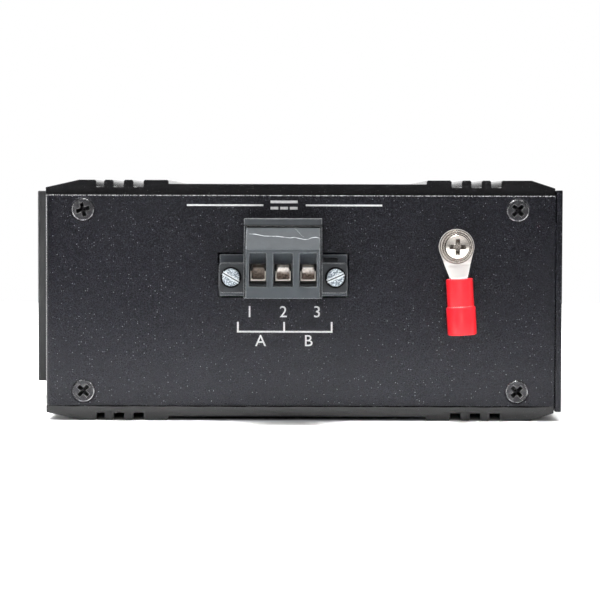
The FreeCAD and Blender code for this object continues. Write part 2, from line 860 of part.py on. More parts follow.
def flange_bushes():
    """Two square threaded bushes in the header's flanges."""
    body = new_piece("flange_bushes")
    x = "terminal_x - bush_spacing / 2"
    square = centred(x, "pole_height", "bush_width", "bush_width")
    bore = screw_hole(x, "pole_height", "bush_bore_radius")
    bush = add(body, "XZ", "near_face", "bush_length", square, bore)
    repeat(body, [bush], "X_Axis", "bush_spacing", "2")
    return body


def plug_housing():
    """The moulded plug: body with a stepped front, tongue, flanges and three clamp chambers."""
    body = new_piece("plug_housing")
    back = "near_face - plug_gap"
    cheek = "entry_face + cheek_setback"
    profile = [
        (back, "board_top"),
        (cheek, "board_top"),
        (cheek, "slope_low"),
        (f"{cheek} + slope_run", "slope_high"),
        (f"{cheek} + slope_run - lip_overhang", "slope_high"),
        (f"{cheek} + slope_run - lip_overhang", "board_top + plug_height"),
        (back, "board_top + plug_height"),
    ]
    add(body, "YZ", "terminal_x - plug_width / 2", "plug_width", profile)
    front = [
        ("entry_face", "board_top"),
        ("entry_face", "slope_low"),
        ("entry_face + slope_run", "slope_high"),
        (f"{cheek} + slope_run", "slope_high"),
        (cheek, "slope_low"),
        (cheek, "board_top"),
    ]
    add(body, "YZ", "terminal_x - plug_width / 2 + cheek_width", "plug_width - 2 * cheek_width", front)
    flange = centred(
        "terminal_x", "board_top + flange_lift + flange_height / 2", "header_width", "flange_height"
    )
    add(body, "XZ", "near_face - flange_depth", "flange_depth - plug_gap", flange)
    sides = [f"terminal_x {side} header_width / 2" for side in "-+"]
    levels = ["board_top + flange_lift", "board_top + flange_lift + flange_height"]
    round_edges(body, "flange_rounding", lambda edge: runs_along(edge, "y", x=sides, z=levels))
    tongue = centred("terminal_x", "pole_height", "tongue_width", "tongue_height")
    add(body, "XZ", back, "tongue_length + plug_gap", tongue)
    ceiling = "opening_low + opening_height - funnel_drop"
    funnel = [
        ("entry_face", "opening_low"),
        ("chamber_front", "opening_low"),
        ("chamber_front", ceiling),
        ("entry_face", "opening_low + opening_height"),
    ]
    chamber = rectangle("chamber_front", "chamber_low", "chamber_back", "chamber_top")
    entry = cut(body, "YZ", "first_pole - opening_width / 2", "opening_width", funnel)
    room = cut(body, "YZ", "first_pole - opening_width / 2", "opening_width", chamber)
    well_depth = "board_top + plug_height - screw_seat"
    well = cut(body, "XY", "screw_seat", well_depth, ("first_pole", "screw_line", "screw_well_radius"))
    passage = centred("first_pole", "screw_line", "screw_shelf_width", "screw_shelf_width")
    shelf = cut(body, "XY", "chamber_top", "screw_shelf", passage)
    channel_width = "contact_width + 2 * contact_room"
    contact = centred("first_pole", "pole_height", channel_width, channel_width)
    channel = cut(body, "XZ", "chamber_back", "near_face + tongue_length - chamber_back", contact)
    repeat(body, [entry, room, well, shelf, channel], "X_Axis", "pole_pitch", "pole_count")
    cut(body, "YZ", "terminal_x - middle_opening_width / 2", "middle_opening_width", funnel)
    flange_face = "near_face - flange_depth"
    spots = [(f"terminal_x {side} bush_spacing / 2", "pole_height") for side in "-+"]
    holes = [screw_hole(*spot, "flange_hole_radius") for spot in spots]
    cut(body, "XZ", flange_face, "flange_depth", *holes)
    wells = [(*spot, "flange_head_radius + flange_well_room") for spot in spots]
    cut(body, "XZ", flange_face, "flange_well_depth", *wells)
    return body


def clamp_cage(label, pole):
    """One rising clamp: a square ring with a threaded top."""
    body = new_piece(label)
    ring = rectangle(
        f"{pole} - cage_width / 2", "cage_low", f"{pole} + cage_width / 2", "cage_low + cage_height"
    )
    window = rectangle(
        f"{pole} - cage_width / 2 + cage_side", "cage_low + cage_floor",
        f"{pole} + cage_width / 2 - cage_side", "cage_low + cage_height - cage_top",
    )
    add(body, "XZ", "screw_line - cage_depth / 2", "cage_depth", ring, window)
    bore = screw_hole(pole, "screw_line", "cage_bore_radius")
    cut(body, "XY", "cage_low + cage_height - cage_top", "cage_top", bore)
    return body


def clamp_screw(label, pole):
    """One slotted clamp screw, standing in the plug over its cage."""
    body = new_piece(label)
    tip = "leaf_top + clamp_tip_gap"
    add(body, "XY", "clamp_head_low", "clamp_head_height", (pole, "screw_line", "clamp_head_radius"))
    add(body, "XY", tip, f"clamp_head_low - ({tip})", thread(pole, "screw_line", "clamp_screw_radius"))
    slot = centred(pole, "screw_line", "2 * clamp_head_radius", "slot_width")
    cut(body, "XY", "clamp_head_top - slot_depth", "slot_depth", slot)
    return body


def pole_contacts():
    """Three contacts: a leaf in the clamp, a riser behind it and a socket for the header's pin."""
    body = new_piece("pole_contacts")
    riser_front = "chamber_back - leaf_thickness"
    riser = rectangle(riser_front, "chamber_low + riser_lift", "chamber_back", "leaf_top")
    leaf = rectangle("chamber_front + leaf_setback", "leaf_low", riser_front, "leaf_top")
    curve = [
        (riser_front, "leaf_low"),
        (f"{riser_front} - leaf_bend", "leaf_low"),
        (riser_front, "leaf_low - leaf_bend"),
    ]
    upright = add(body, "YZ", "first_pole - riser_width / 2", "riser_width", riser)
    strip = add(body, "YZ", "first_pole - leaf_width / 2", "leaf_width", leaf)
    web = add(body, "YZ", "first_pole - leaf_width / 2", "leaf_width", curve)
    tube = [
        centred("first_pole", "pole_height", "contact_width", "contact_width"),
        centred("first_pole", "pole_height", "contact_bore", "contact_bore"),
    ]
    socket_length = "near_face + tongue_length - contact_end_gap - chamber_back"
    socket = add(body, "XZ", "chamber_back", socket_length, *tube)
    repeat(body, [upright, strip, web, socket], "X_Axis", "pole_pitch", "pole_count")
    return body


def flange_screws():
    """Two slotted screws that hold the plug on the header."""
    body = new_piece("flange_screws")
    seat = "near_face - flange_depth + flange_well_depth"
    front = f"{seat} - flange_head_height"
    for side, angle in (("-", "left_slot_turn"), ("+", "right_slot_turn")):
        x = f"terminal_x {side} bush_spacing / 2"
        add(body, "XZ", front, "flange_head_height", (x, "pole_height", "flange_head_radius"))
        add(body, "XZ", seat, "flange_screw_length", thread(x, "pole_height", "flange_screw_radius"))
        slot = turned_slot(x, "pole_height", "2 * flange_head_radius", "slot_width", angle)
        cut(body, "XZ", front, "slot_depth", slot)
    return body


def ground_stack():
    """Where each piece of the earth point starts, outwards from the end plate."""
    washer = "near_face - lug_sheet - flat_washer_thickness"
    spring = f"{washer} - spring_washer_thickness"
    return washer, spring


def ground_screw():
    """The pan-head earth screw with a cross recess."""
    body = new_piece("ground_screw")
    seat = ground_stack()[1]
    profile = [
        ("0", "-ground_head_height"),
        ("ground_head_radius - ground_head_height / 2", "-ground_head_height"),
        ("ground_head_radius", "-ground_head_height / 2"),
        ("ground_head_radius", "0"),
        ("0", "0"),
    ]
    turn(body, "XY", "ground_height", "ground_x", seat, profile)
    shank = thread("ground_x", "ground_height", "ground_screw_radius")
    add(body, "XZ", seat, "ground_screw_length", shank)
    cut(body, "XZ", f"{seat} - ground_head_height", "cross_depth", cross("ground_x", "ground_height"))
    return body


def ground_washers():
    """The split spring washer and the flat washer under the earth screw."""
    washer, spring = ground_stack()
    flat = new_piece("ground_flat_washer")
    hole = ("ground_x", "ground_height", "ground_hole_radius")
    disc = ("ground_x", "ground_height", "flat_washer_radius")
    add(flat, "XZ", washer, "flat_washer_thickness", disc, hole)
    split = new_piece("ground_spring_washer")
    coil = ("ground_x", "ground_height", "spring_washer_radius")
    add(split, "XZ", spring, "spring_washer_thickness", coil, hole)
    gap = rectangle(
        "ground_x", "ground_height - spring_washer_split / 2",
        "ground_x + 2 * spring_washer_radius", "ground_height + spring_washer_split / 2",
    )
    cut(split, "XZ", spring, "spring_washer_thickness", gap)
    return flat, split


def ground_nut():
    """The clinch nut behind the end plate that takes the earth screw."""
    body = new_piece("ground_nut")
    nut = hexagon("ground_x", "ground_height", "ground_nut_across_corners")
    bore = screw_hole("ground_x", "ground_height", "ground_screw_radius + thread_room")
    add(body, "XZ", "near_face + plate_sheet", "ground_nut_length", nut, bore)
    return body


def tilt_lug(body):
    """Turn a piece of the lug about the earth screw, as it was tightened."""
    body.Placement.Rotation = FreeCAD.Rotation(FreeCAD.Vector(0, 1, 0), number("lug_tilt"))
    bind(body, "Placement.Rotation.Angle", "lug_tilt")
    return body


def ring_lug():
    """The tinned ring lug: ring, bent tongue and crimp barrel."""
    body = new_piece("ring_lug", "ground_x", "near_face", "ground_height")
    barrel_back = "-barrel_stand + barrel_radius"
    tongue = [
        ("0", "0"),
        ("0", "-tongue_bend_start - lug_sheet / 2"),
        (barrel_back, "-barrel_start"),
        (f"{barrel_back} - barrel_wall", "-barrel_start"),
        ("-lug_sheet", "-tongue_bend_start"),
        ("-lug_sheet", "0"),
    ]
    add(body, "YZ", "-lug_radius", "2 * lug_radius", tongue)
    shoulder = "sqrt(lug_radius^2 - tongue_shoulder^2)"
    for side in ("-", ""):
        waste = [
            (f"{side}2 * lug_radius", "0"),
            (f"{side}lug_radius", "0"),
            (f"{side}{shoulder}", "-tongue_shoulder"),
            (f"{side}tongue_strip_width / 2", "-barrel_start"),
            (f"{side}2 * lug_radius", "-barrel_start"),
        ]
        cut(body, "XZ", "-barrel_stand", "barrel_stand", waste)
    add(body, "XZ", "-lug_sheet", "lug_sheet", ("0", "0", "lug_radius"))
    cut(body, "XZ", "-lug_sheet", "lug_sheet", ("0", "0", "ground_hole_radius"))
    barrel = [("0", "-barrel_stand", "barrel_radius"), ("0", "-barrel_stand", "barrel_radius - barrel_wall")]
    add(body, "XY", "-barrel_start - barrel_length", "barrel_length", *barrel)
    return tilt_lug(body)


def lug_sleeve():
    """The insulating sleeve on the lug's barrel: a grip half and a wider wire half."""
    body = new_piece("lug_sleeve", "ground_x", "near_face", "ground_height")
    grip_end = "-sleeve_start - sleeve_grip_length"
    end = "-sleeve_start - sleeve_length"
    grip_bore = "barrel_radius + sleeve_fit"
    barrel_end = "-barrel_start - barrel_length"
    profile = [
        (grip_bore, "-sleeve_start"),
        ("sleeve_grip_radius", "-sleeve_start"),
        ("sleeve_grip_radius", grip_end),
        ("sleeve_radius", grip_end),
        ("sleeve_radius", end),
        ("sleeve_bore_radius", end),
        ("sleeve_bore_radius", barrel_end),
        (grip_bore, barrel_end),
    ]
    turn(body, "XZ", "-barrel_stand", "0", "0", profile)
    return tilt_lug(body)


def port_outline(y, floor, room="0"):
    """The opening of one port, latch upwards, widened all round by some room."""
    half = [
        (f"port_width / 2 + {room}", f"{floor} - {room}"),
        (f"port_width / 2 + {room}", f"{floor} + port_height + {room}"),
        (f"latch_width / 2 + {room}", f"{floor} + port_height + {room}"),
        (f"latch_width / 2 + {room}", f"{floor} + port_height + latch_height + {room}"),
        (f"latch_slot_width / 2 + {room}", f"{floor} + port_height + latch_height + {room}"),
        (
            f"latch_slot_width / 2 + {room}",
            f"{floor} + port_height + latch_height + latch_slot_height + {room}",
        ),
    ]
    right = [(f"{y} + {u}", v) for u, v in half]
    left = [(f"{y} - ({u})", v) for u, v in reversed(half)]
    return right + left


def first_port(block):
    """The middle of a block's first port."""
    return f"{block} - (port_count - 1) * port_pitch / 2"


def port_shield(label, block):
    """The metal shell of one port block, open towards the board."""
    body = new_piece(label)
    shell = centred(block, "board_top + block_height / 2", "block_width", "block_height")
    add(body, "YZ", "block_back", "block_depth", shell)
    hollow = rectangle(
        f"{block} - block_width / 2 + shield_sheet", "board_top",
        f"{block} + block_width / 2 - shield_sheet", "board_top + block_height - shield_sheet",
    )
    cut(body, "YZ", "block_back + shield_sheet", "block_depth - 2 * shield_sheet", hollow)
    mouth = port_outline(first_port(block), "port_floor", "insert_room")
    hole = cut(body, "YZ", "panel_face - shield_sheet", "shield_sheet", mouth)
    repeat(body, [hole], "Y_Axis", "port_pitch", "port_count")
    return body


def port_insert(label, block):
    """The moulded core of one port block, with a cavity for each port."""
    body = new_piece(label)
    side = "block_width / 2 - shield_sheet - insert_room"
    core = rectangle(
        f"{block} - ({side})", "board_top", f"{block} + {side}",
        "board_top + block_height - shield_sheet - insert_room",
    )
    ends = "shield_sheet + insert_room"
    add(body, "YZ", f"block_back + {ends}", f"block_depth - 2 * ({ends})", core)
    cavity = port_outline(first_port(block), "port_floor")
    hole = cut(body, "YZ", "panel_face - port_depth", f"port_depth - ({ends})", cavity)
    repeat(body, [hole], "Y_Axis", "port_pitch", "port_count")
    return body


def port_contacts():
    """The spring wires in the ports: eight rise from the floor of each cavity."""
    body = new_piece("port_contacts")
    front = "panel_face - wire_front"
    back = "panel_face - wire_back"
    strip = [
        (front, "port_floor"),
        (front, "port_floor + wire_width"),
        (back, "port_floor + wire_width + wire_rise"),
        (back, "port_floor + wire_rise"),
    ]
    features = []
    for block in ("-block_spacing / 2", "block_spacing / 2"):
        first = f"{first_port(block)} - (contact_count - 1) * contact_pitch / 2"
        features.append(add(body, "XZ", f"{first} - wire_width / 2", "wire_width", strip))
    repeat(
        body, features, "Y_Axis", "contact_pitch", "contact_count", "Y_Axis", "port_pitch", "port_count"
    )
    return body


def status_lights():
    """The light pipes in the port panel and the lights on the board behind them."""
    pipes = new_piece("status_light_pipes")
    section = centred("light_first_y", "board_top + light_lift", "pipe_width", "pipe_width")
    pipe = add(pipes, "YZ", "pipe_back", "panel_face + pipe_proud - pipe_back", section)
    repeat(pipes, [pipe], "Y_Axis", "light_pitch", "light_count")
    lights = new_piece("status_lights")
    block = centred(
        "light_first_y", "board_top + light_block_height / 2", "light_block_width", "light_block_height"
    )
    light = add(lights, "YZ", "pipe_back - light_block_depth", "light_block_depth", block)
    repeat(lights, [light], "Y_Axis", "light_pitch", "light_count")
    return pipes, lights


def board_box(label, x, y, width, depth, low, height):
    """A square-cornered component that stands on something."""
    body = new_piece(label)
    return body, add(body, "XY", low, height, centred(x, y, width, depth))


def board_parts():
    """What the board carries, and the block that takes the chip's heat to the upper wall."""
    board_box("switch_chip", "chip_x", "0", "chip_width", "chip_width", "board_top", "chip_height")
    pad_low = "board_top + chip_height"
    board_box("heat_pad", "chip_x", "0", "heat_block_width", "heat_block_width", pad_low, "pad_height")
    block_low = f"{pad_low} + pad_height"
    block_height = f"case_height - wall_thickness - ({block_low})"
    board_box("heat_block", "chip_x", "0", "heat_block_width", "heat_block_width", block_low, block_height)
    magnetics, case = board_box(
        "magnetics", "magnetics_x", "-block_spacing / 2", "magnetics_depth", "magnetics_width",
        "board_top", "magnetics_height",
    )
    repeat(magnetics, [case], "Y_Axis", "block_spacing", "2")
    board_box(
        "power_inductor", "inductor_x", "inductor_y", "inductor_width", "inductor_width",
        "board_top", "inductor_height",
    )
    chips, chip = board_box(
        "memory_chips", "memory_x", "memory_y", "memory_width", "memory_depth", "board_top", "memory_height"
    )
    repeat(chips, [chip], "Y_Axis", "memory_pitch", "memory_count")
    capacitors, can = board_box(
        "capacitors", "capacitor_x", "capacitor_y", "capacitor_width", "capacitor_width",
        "board_top", "capacitor_height",
    )
    repeat(capacitors, [can], "Y_Axis", "capacitor_pitch", "capacitor_count")


def main():
    """Build every sub-part, test it and write it out."""
    side_wall("upper_wall", lambda depth: f"case_height - ({depth})")
    side_wall("lower_wall", lambda depth: depth)
    chassis_tray()
    end_screws()
    front_panel()
    panel_screws()
    din_bracket()
    din_spring()
    din_screws()
    main_board()
    standoffs()
    power_header()
    header_pins()
    flange_bushes()
    plug_housing()
    for index in range(SIZES["pole_count"]):
        pole = f"first_pole + {index} * pole_pitch"
        clamp_cage(f"clamp_cage_{index + 1}", pole)
        clamp_screw(f"clamp_screw_{index + 1}", pole)
    pole_contacts()
    flange_screws()
    ground_screw()
    ground_washers()
    ground_nut()
    ring_lug()
    lug_sleeve()
    for number_on_panel, side in enumerate(("-", ""), start=1):
        port_shield(f"port_shield_{number_on_panel}", f"{side}block_spacing / 2")
        port_insert(f"port_insert_{number_on_panel}", f"{side}block_spacing / 2")
    port_contacts()
    status_lights()
    board_parts()
    doc.recompute()

    for item in doc.Objects:
        if "Invalid" in item.State or "Error" in item.State:
            raise RuntimeError(f"{item.Label} failed: {item.State}")
    for piece in pieces:
        if piece.Shape.isNull() or not piece.Shape.isValid() or not piece.Shape.Solids:
            raise RuntimeError(f"{piece.Label} has no valid solid")
    os.makedirs("parts", exist_ok=True)
    for piece in pieces:
        piece.Shape.exportStep(f"parts/{piece.Label}.step")
        box = piece.Shape.BoundBox
        print(f"{piece.Label}: {len(piece.Shape.Solids)} solids, {piece.Shape.Volume:.1f} mm3, {box}")


main()
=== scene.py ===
"""Looks of a rail-mounted network switch that lies on its finned side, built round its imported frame."""

import json
import math

import bmesh
import bpy
from mathutils import Matrix, Vector

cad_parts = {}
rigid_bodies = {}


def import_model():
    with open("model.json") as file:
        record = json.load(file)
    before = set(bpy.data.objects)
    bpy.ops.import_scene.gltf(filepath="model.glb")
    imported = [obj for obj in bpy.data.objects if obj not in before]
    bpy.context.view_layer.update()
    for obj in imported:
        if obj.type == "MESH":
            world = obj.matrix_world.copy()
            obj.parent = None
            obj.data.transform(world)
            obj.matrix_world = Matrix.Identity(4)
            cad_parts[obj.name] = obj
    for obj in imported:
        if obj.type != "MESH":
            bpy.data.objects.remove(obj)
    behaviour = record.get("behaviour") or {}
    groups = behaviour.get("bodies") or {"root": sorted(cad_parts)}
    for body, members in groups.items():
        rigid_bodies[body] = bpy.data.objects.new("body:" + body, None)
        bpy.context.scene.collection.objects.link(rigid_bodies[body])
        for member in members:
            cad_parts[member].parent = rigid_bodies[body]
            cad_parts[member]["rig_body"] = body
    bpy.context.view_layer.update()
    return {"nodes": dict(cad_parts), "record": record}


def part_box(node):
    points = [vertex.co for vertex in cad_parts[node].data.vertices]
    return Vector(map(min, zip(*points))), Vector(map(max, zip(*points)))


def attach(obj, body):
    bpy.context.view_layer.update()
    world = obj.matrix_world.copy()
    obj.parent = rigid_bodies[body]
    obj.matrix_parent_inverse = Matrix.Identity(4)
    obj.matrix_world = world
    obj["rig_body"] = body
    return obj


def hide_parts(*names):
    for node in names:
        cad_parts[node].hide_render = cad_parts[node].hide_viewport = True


bl_info = {
    "name": "Industrial Ethernet Switch",
    "version": (1, 0, 0),
    "blender": (4, 5, 0),
    "location": "View3D > Sidebar > Switch",
    "description": "Dresses the frame of a rail-mounted network switch with its finishes and fine detail",
    "category": "Object",
}

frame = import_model()
NODES = frame["nodes"]
SLOTS = {part["node"]: part["material_slot"] for part in frame["record"]["subparts"]}
MOUNTS = {mount["name"]: mount for mount in frame["record"]["mounts"]}

MM = 0.001
# Points nearer than this are one point
MERGE = 1e-7
# Thickness of what lies flat on a surface
FILM = 0.012 * MM
# Near-black of painted shade: in narrow gaps, screw recesses and under the plug's lip
PAINTED_SHADE_BLACK = (0.002, 0.002, 0.002)
TOWARDS_CAMERA = Vector((0, -1, 0))
AWAY = Vector((0, 1, 0))
UP = Vector((0, 0, 1))
OUT_OF_PANEL = Vector((1, 0, 0))
OUT_OF_BACK = Vector((-1, 0, 0))

# Where the outside surfaces lie
PLATE_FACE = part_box("chassis_tray")[0].y
PANEL_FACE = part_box("front_panel")[1].x


def seat(corners, **given):
    """The middle of a box, with some of its coordinates given instead."""
    place = (corners[0] + corners[1]) / 2
    for axis, value in given.items():
        setattr(place, axis, value)
    return place


def length_of(label, text, size):
    """A length that a user may change, given in millimetres."""
    return bpy.props.FloatProperty(
        name=label, description=text, default=size * MM, unit="LENGTH", subtype="DISTANCE", precision=5
    )


def colour_of(label, text, red, green, blue):
    """A colour that a user may change."""
    return bpy.props.FloatVectorProperty(
        name=label, description=text, default=(red, green, blue), subtype="COLOR", size=3, min=0.0, max=1.0
    )


class SwitchSizes(bpy.types.PropertyGroup):
    """Fine sizes that the frame leaves to the looks."""

    sheet_edge: length_of("Sheet edge", "Rounding of painted sheet edges", 0.16)
    wall_edge: length_of("Wall edge", "Rounding of the extruded walls' edges", 0.1)
    moulded_edge: length_of("Moulded edge", "Rounding of moulded plastic edges", 0.12)
    pressed_edge: length_of("Pressed edge", "Rounding of small pressed metal edges", 0.07)
    bracket_edge: length_of("Bracket edge", "Rounding of the rail bracket's edges", 0.28)
    proud: length_of("Proud heads", "How far the near end screws stand out of their sinks", 0.14)
    grain: length_of("Coat grain", "Size of one grain of the powder coat", 0.32)
    ink: length_of("Ink", "Thickness of the printed marks", 0.012)
    large_mark: length_of("Large mark", "Height of the marks on the end plate", 2.3)
    small_mark: length_of("Small mark", "Height of the marks on the port panel", 2.2)


class SwitchColours(bpy.types.PropertyGroup):
    """Colours of the finishes."""

    coat: colour_of("Powder coat", "The black coat of the tray and the panel", 0.003, 0.003, 0.0045)
    speck: colour_of("Coat speck", "Light grains in the black coat", 0.17, 0.175, 0.19)
    wall: colour_of("Wall", "The anodised skin of the finned walls", 0.006, 0.006, 0.0065)
    bracket: colour_of("Bracket coat", "The rail bracket's coat", 0.018, 0.018, 0.019)
    plug: colour_of("Plug", "Grey of the pluggable terminal", 0.0215, 0.0255, 0.029)
    header: colour_of("Header", "Dark grey of the terminal's header", 0.026, 0.03, 0.036)
    sleeve: colour_of("Sleeve", "Red of the lug's sleeve", 0.7, 0.013, 0.022)
    zinc: colour_of("Zinc", "Blue-white zinc of the small screws", 0.66, 0.69, 0.72)
    nickel: colour_of("Nickel", "Bright nickel of the earth screw", 0.66, 0.615, 0.565)
    tin: colour_of("Tin", "Tin on the ring lug", 1.0, 0.985, 0.96)
    clamp: colour_of("Clamp", "Plated steel of the wire clamps", 0.88, 0.83, 0.76)
    gold: colour_of("Gold", "Plating of the contacts", 0.83, 0.6, 0.26)
    ink: colour_of("Ink", "Printed marks", 0.62, 0.62, 0.62)
    floor: colour_of("Floor", "The pale floor", 0.88, 0.88, 0.88)


# Finishes


class Graph:
    """A node tree that is wired by the names of its sockets."""

    def __init__(self, tree):
        self.tree = tree

    def set(self, node, socket, value):
        """Link a socket to another, or give it a value."""
        if isinstance(value, bpy.types.NodeSocket):
            self.tree.links.new(value, node.inputs[socket])
        else:
            node.inputs[socket].default_value = value

    def fill(self, node, **values):
        """Set a node's properties, named in small letters, and its sockets, named with _ for a space."""
        for name, value in values.items():
            if name.islower():
                setattr(node, name, value)
            else:
                self.set(node, name.replace("_", " "), value)
        return node

    def node(self, kind, **values):
        """The outputs of a node with some of its properties and sockets set."""
        return self.fill(self.tree.nodes.new(kind), **values).outputs

    def maths(self, kind, operation, *values):
        """The outputs of a node that works out one thing from values in order."""
        made = self.tree.nodes.new(kind)
        made.operation = operation
        for socket, value in enumerate(values):
            self.set(made, socket, value)
        return made.outputs

    def between(self, value, low, high, start=0.0, end=1.0):
        """A value brought from one range to another, clamped."""
        return self.node(
            "ShaderNodeMapRange", Value=value, From_Min=low, From_Max=high, To_Min=start, To_Max=end
        )["Result"]


class Finish(Graph):
    """A node material on Object coordinates, built up a layer at a time."""

    def __init__(self, name, colour, roughness, metallic=0.0, **sockets):
        self.material = bpy.data.materials.new(name)
        self.material.use_nodes = True
        super().__init__(self.material.node_tree)
        self.shader = self.tree.nodes["Principled BSDF"]
        self.colour = (*colour, 1.0)
        self.fill(self.shader, Base_Color=self.colour, Roughness=roughness, Metallic=metallic, **sockets)
        self.place = self.node("ShaderNodeTexCoord")["Object"]
        self.height = None

    # Values and masks

    def noise(self, grain, detail=2.0, rough=0.5, along=None):
        """Noise from 0 to 1 whose grain is a length, scaled by axis for a drawn surface."""
        vector = self.place
        if along:
            vector = self.node("ShaderNodeMapping", Vector=vector, Scale=along)["Vector"]
        return self.node(
            "ShaderNodeTexNoise", Vector=vector, Scale=1 / grain, Detail=detail, Roughness=rough
        )["Fac"]

    def cells(self, grain):
        """The outputs of a pattern of scattered cells."""
        return self.node("ShaderNodeTexVoronoi", Vector=self.place, Scale=1 / grain)

    def grains(self, spacing, size, share):
        """Scattered round grains: how far apart they may lie, how wide they are, and which share shows."""
        made = self.cells(spacing)
        dot = self.between(made["Distance"], 0.3 * size / spacing, 0.5 * size / spacing, 1.0, 0.0)
        chance = self.node("ShaderNodeSeparateColor", Color=made["Color"])["Red"]
        return self.times(dot, self.between(chance, 1 - share, 1.0))

    def times(self, first, second):
        """The product of two values."""
        return self.maths("ShaderNodeMath", "MULTIPLY", first, second)["Value"]

    def axis(self, name):
        """One of the Object coordinates, in metres."""
        return self.node("ShaderNodeSeparateXYZ", Vector=self.place)[name]

    def edges(self, radius):
        """A mask of the edges that lie within a radius."""
        rounded = self.node("ShaderNodeBevel", Radius=radius)["Normal"]
        flat = self.node("ShaderNodeNewGeometry")["Normal"]
        facing = self.maths("ShaderNodeVectorMath", "DOT_PRODUCT", rounded, flat)["Value"]
        return self.between(facing, 0.99, 0.9)

    def ring(self, centre, radius, width):
        """A ring about an axis along Y."""
        flat = self.maths("ShaderNodeVectorMath", "MULTIPLY", self.place, (1, 0, 1))["Vector"]
        away = self.maths("ShaderNodeVectorMath", "DISTANCE", flat, (centre.x, 0, centre.z))["Value"]
        return self.maths("ShaderNodeMath", "COMPARE", away, radius, width / 2)["Value"]

    # Layers

    def tint(self, factor, colour):
        """Mix the base colour towards another where a factor says so."""
        mix = self.tree.nodes.new("ShaderNodeMix")
        mix.data_type = "RGBA"
        links = self.shader.inputs["Base Color"].links
        before = links[0].from_socket if links else self.colour
        for socket, value in ((0, factor), (6, before), (7, (*colour, 1.0))):
            self.set(mix, socket, value)
        self.set(self.shader, "Base Color", mix.outputs[2])
        return self

    def stain(self, colour, grain, low, high, share=1.0, detail=3.0, rough=0.5):
        """Tint the patches where noise of a grain goes from one level to another."""
        return self.tint(self.between(self.noise(grain, detail, rough), low, high, 0.0, share), colour)

    def grade(self, colour, axis, low, high, share=1.0):
        """Tint more and more along an axis, from one coordinate to another."""
        return self.tint(self.between(self.axis(axis), low, high, 0.0, share), colour)

    def deepen(self, colour, reach, share=1.0):
        """Paint shade into the places that the piece's own surfaces shut in within a reach."""
        free = self.node("ShaderNodeAmbientOcclusion", only_local=True, samples=6, Distance=reach)["AO"]
        return self.tint(self.between(free, 0.75, 0.3, 0.0, share), colour)

    def rub(self, radius, colour, least=0.15, most=0.8):
        """Lighten the edges within a radius towards a colour, more in some places than in others: rubbed
        wear, and painted highlights where edges catch the light.
        """
        patchy = self.between(self.noise(0.6 * MM, 3.0, 0.7), 0.3, 0.6, least, most)
        return self.tint(self.times(self.edges(radius), patchy), colour)

    def wear(self, pattern, least, most):
        """Let roughness follow a pattern."""
        self.set(self.shader, "Roughness", self.between(pattern, 0.3, 0.7, least, most))
        return self

    def bump(self, pattern, depth):
        """Add a layer of relief whose full height is a length."""
        before = {"Normal": self.height} if self.height else {}
        self.height = self.node("ShaderNodeBump", Distance=depth, Height=pattern, **before)["Normal"]
        self.set(self.shader, "Normal", self.height)
        return self

    def relief(self, grain, depth, detail=2.0):
        """Add a layer of relief from noise."""
        return self.bump(self.noise(grain, detail), depth)


def powder_coat(name, colour, speck, grain, worn_and_lit_above=None):
    """Sand-textured powder coat with light grains, paler above a height: rubbed wear, and a painted
    highlight of the light on the top edge.
    """
    coat = Finish(name, colour, 0.26, Specular_IOR_Level=0.17, Specular_Tint=(0.92, 0.93, 1.0, 1.0))
    sand = coat.noise(grain, 3.0, 0.65)
    coat.stain(speck, grain * 0.6, 0.52, 0.8, 0.12, detail=1.0)
    coat.tint(coat.grains(0.45 * MM, 0.2 * MM, 0.22), speck)
    if worn_and_lit_above:
        # Rubbed wear and a painted highlight: a pale, broken line above the given height
        worn_and_lit_patches = coat.between(coat.noise(0.24 * MM, 3.0, 0.7), 0.46, 0.62)
        high = coat.between(coat.axis("Z"), worn_and_lit_above - 0.05 * MM, worn_and_lit_above + 0.05 * MM)
        coat.tint(coat.times(worn_and_lit_patches, high), (0.5, 0.5, 0.5))
    relief = grain * 0.03
    return coat.wear(sand, 0.27, 0.18).bump(sand, relief).bump(coat.cells(grain * 1.6)["Distance"], relief)


def anodised(name, colour):
    """Smooth black anodised aluminium with faint lines along its extrusion."""
    skin = Finish(name, colour, 0.15, Specular_IOR_Level=0.26)
    lines = skin.noise(0.2 * MM, along=(1.0, 0.02, 1.0))
    skin.stain((0.2, 0.2, 0.2), 0.3 * MM, 0.72, 0.8, 0.4, detail=1.0)
    return skin.wear(lines, 0.08, 0.14).bump(lines, 0.002 * MM)


def smooth_coat(name, colour):
    """Thin even coat with slight orange peel."""
    coat = Finish(name, colour, 0.42, Specular_IOR_Level=0.3)
    coat.stain((0.04, 0.04, 0.042), 6 * MM, 0.35, 0.7, 0.25, detail=4.0)
    return coat.wear(coat.noise(1.2 * MM), 0.38, 0.52).relief(0.5 * MM, 0.02 * MM)


def metal(name, colour, roughness, stain, depth=0.004 * MM, metallic=1.0):
    """Plated metal with faint stains and fine marks."""
    grain = 0.5 * MM
    plate = Finish(name, colour, roughness, metallic)
    plate.stain(stain, 3 * MM, 0.45, 0.75, 0.6, detail=4.0)
    plate.wear(plate.noise(grain, 3.0), roughness * 0.75, roughness * 1.3)
    return plate.relief(grain * 0.5, depth)


def plastic(name, colour, roughness, lighter=1.25):
    """Moulded plastic with a fine spark-eroded grain, paler in patches."""
    grain = 0.25 * MM
    pale = [min(1.0, part * lighter) for part in colour]
    body = Finish(name, colour, roughness, Specular_IOR_Level=0.18)
    body.stain(pale, 2.5 * MM, 0.35, 0.75, 0.5, detail=4.0)
    body.stain(pale, grain, 0.5, 0.75, 0.35, detail=2.0, rough=0.6)
    body.wear(body.noise(grain * 2), roughness * 0.85, roughness * 1.12)
    return body.relief(grain, 0.012 * MM)


# Shapes


def linked(name, mesh):
    """A new object in the scene."""
    thing = bpy.data.objects.new(name, mesh)
    bpy.context.scene.collection.objects.link(thing)
    return thing


def removed(*things):
    """Take helper objects out again."""
    for thing in things:
        bpy.data.objects.remove(thing)


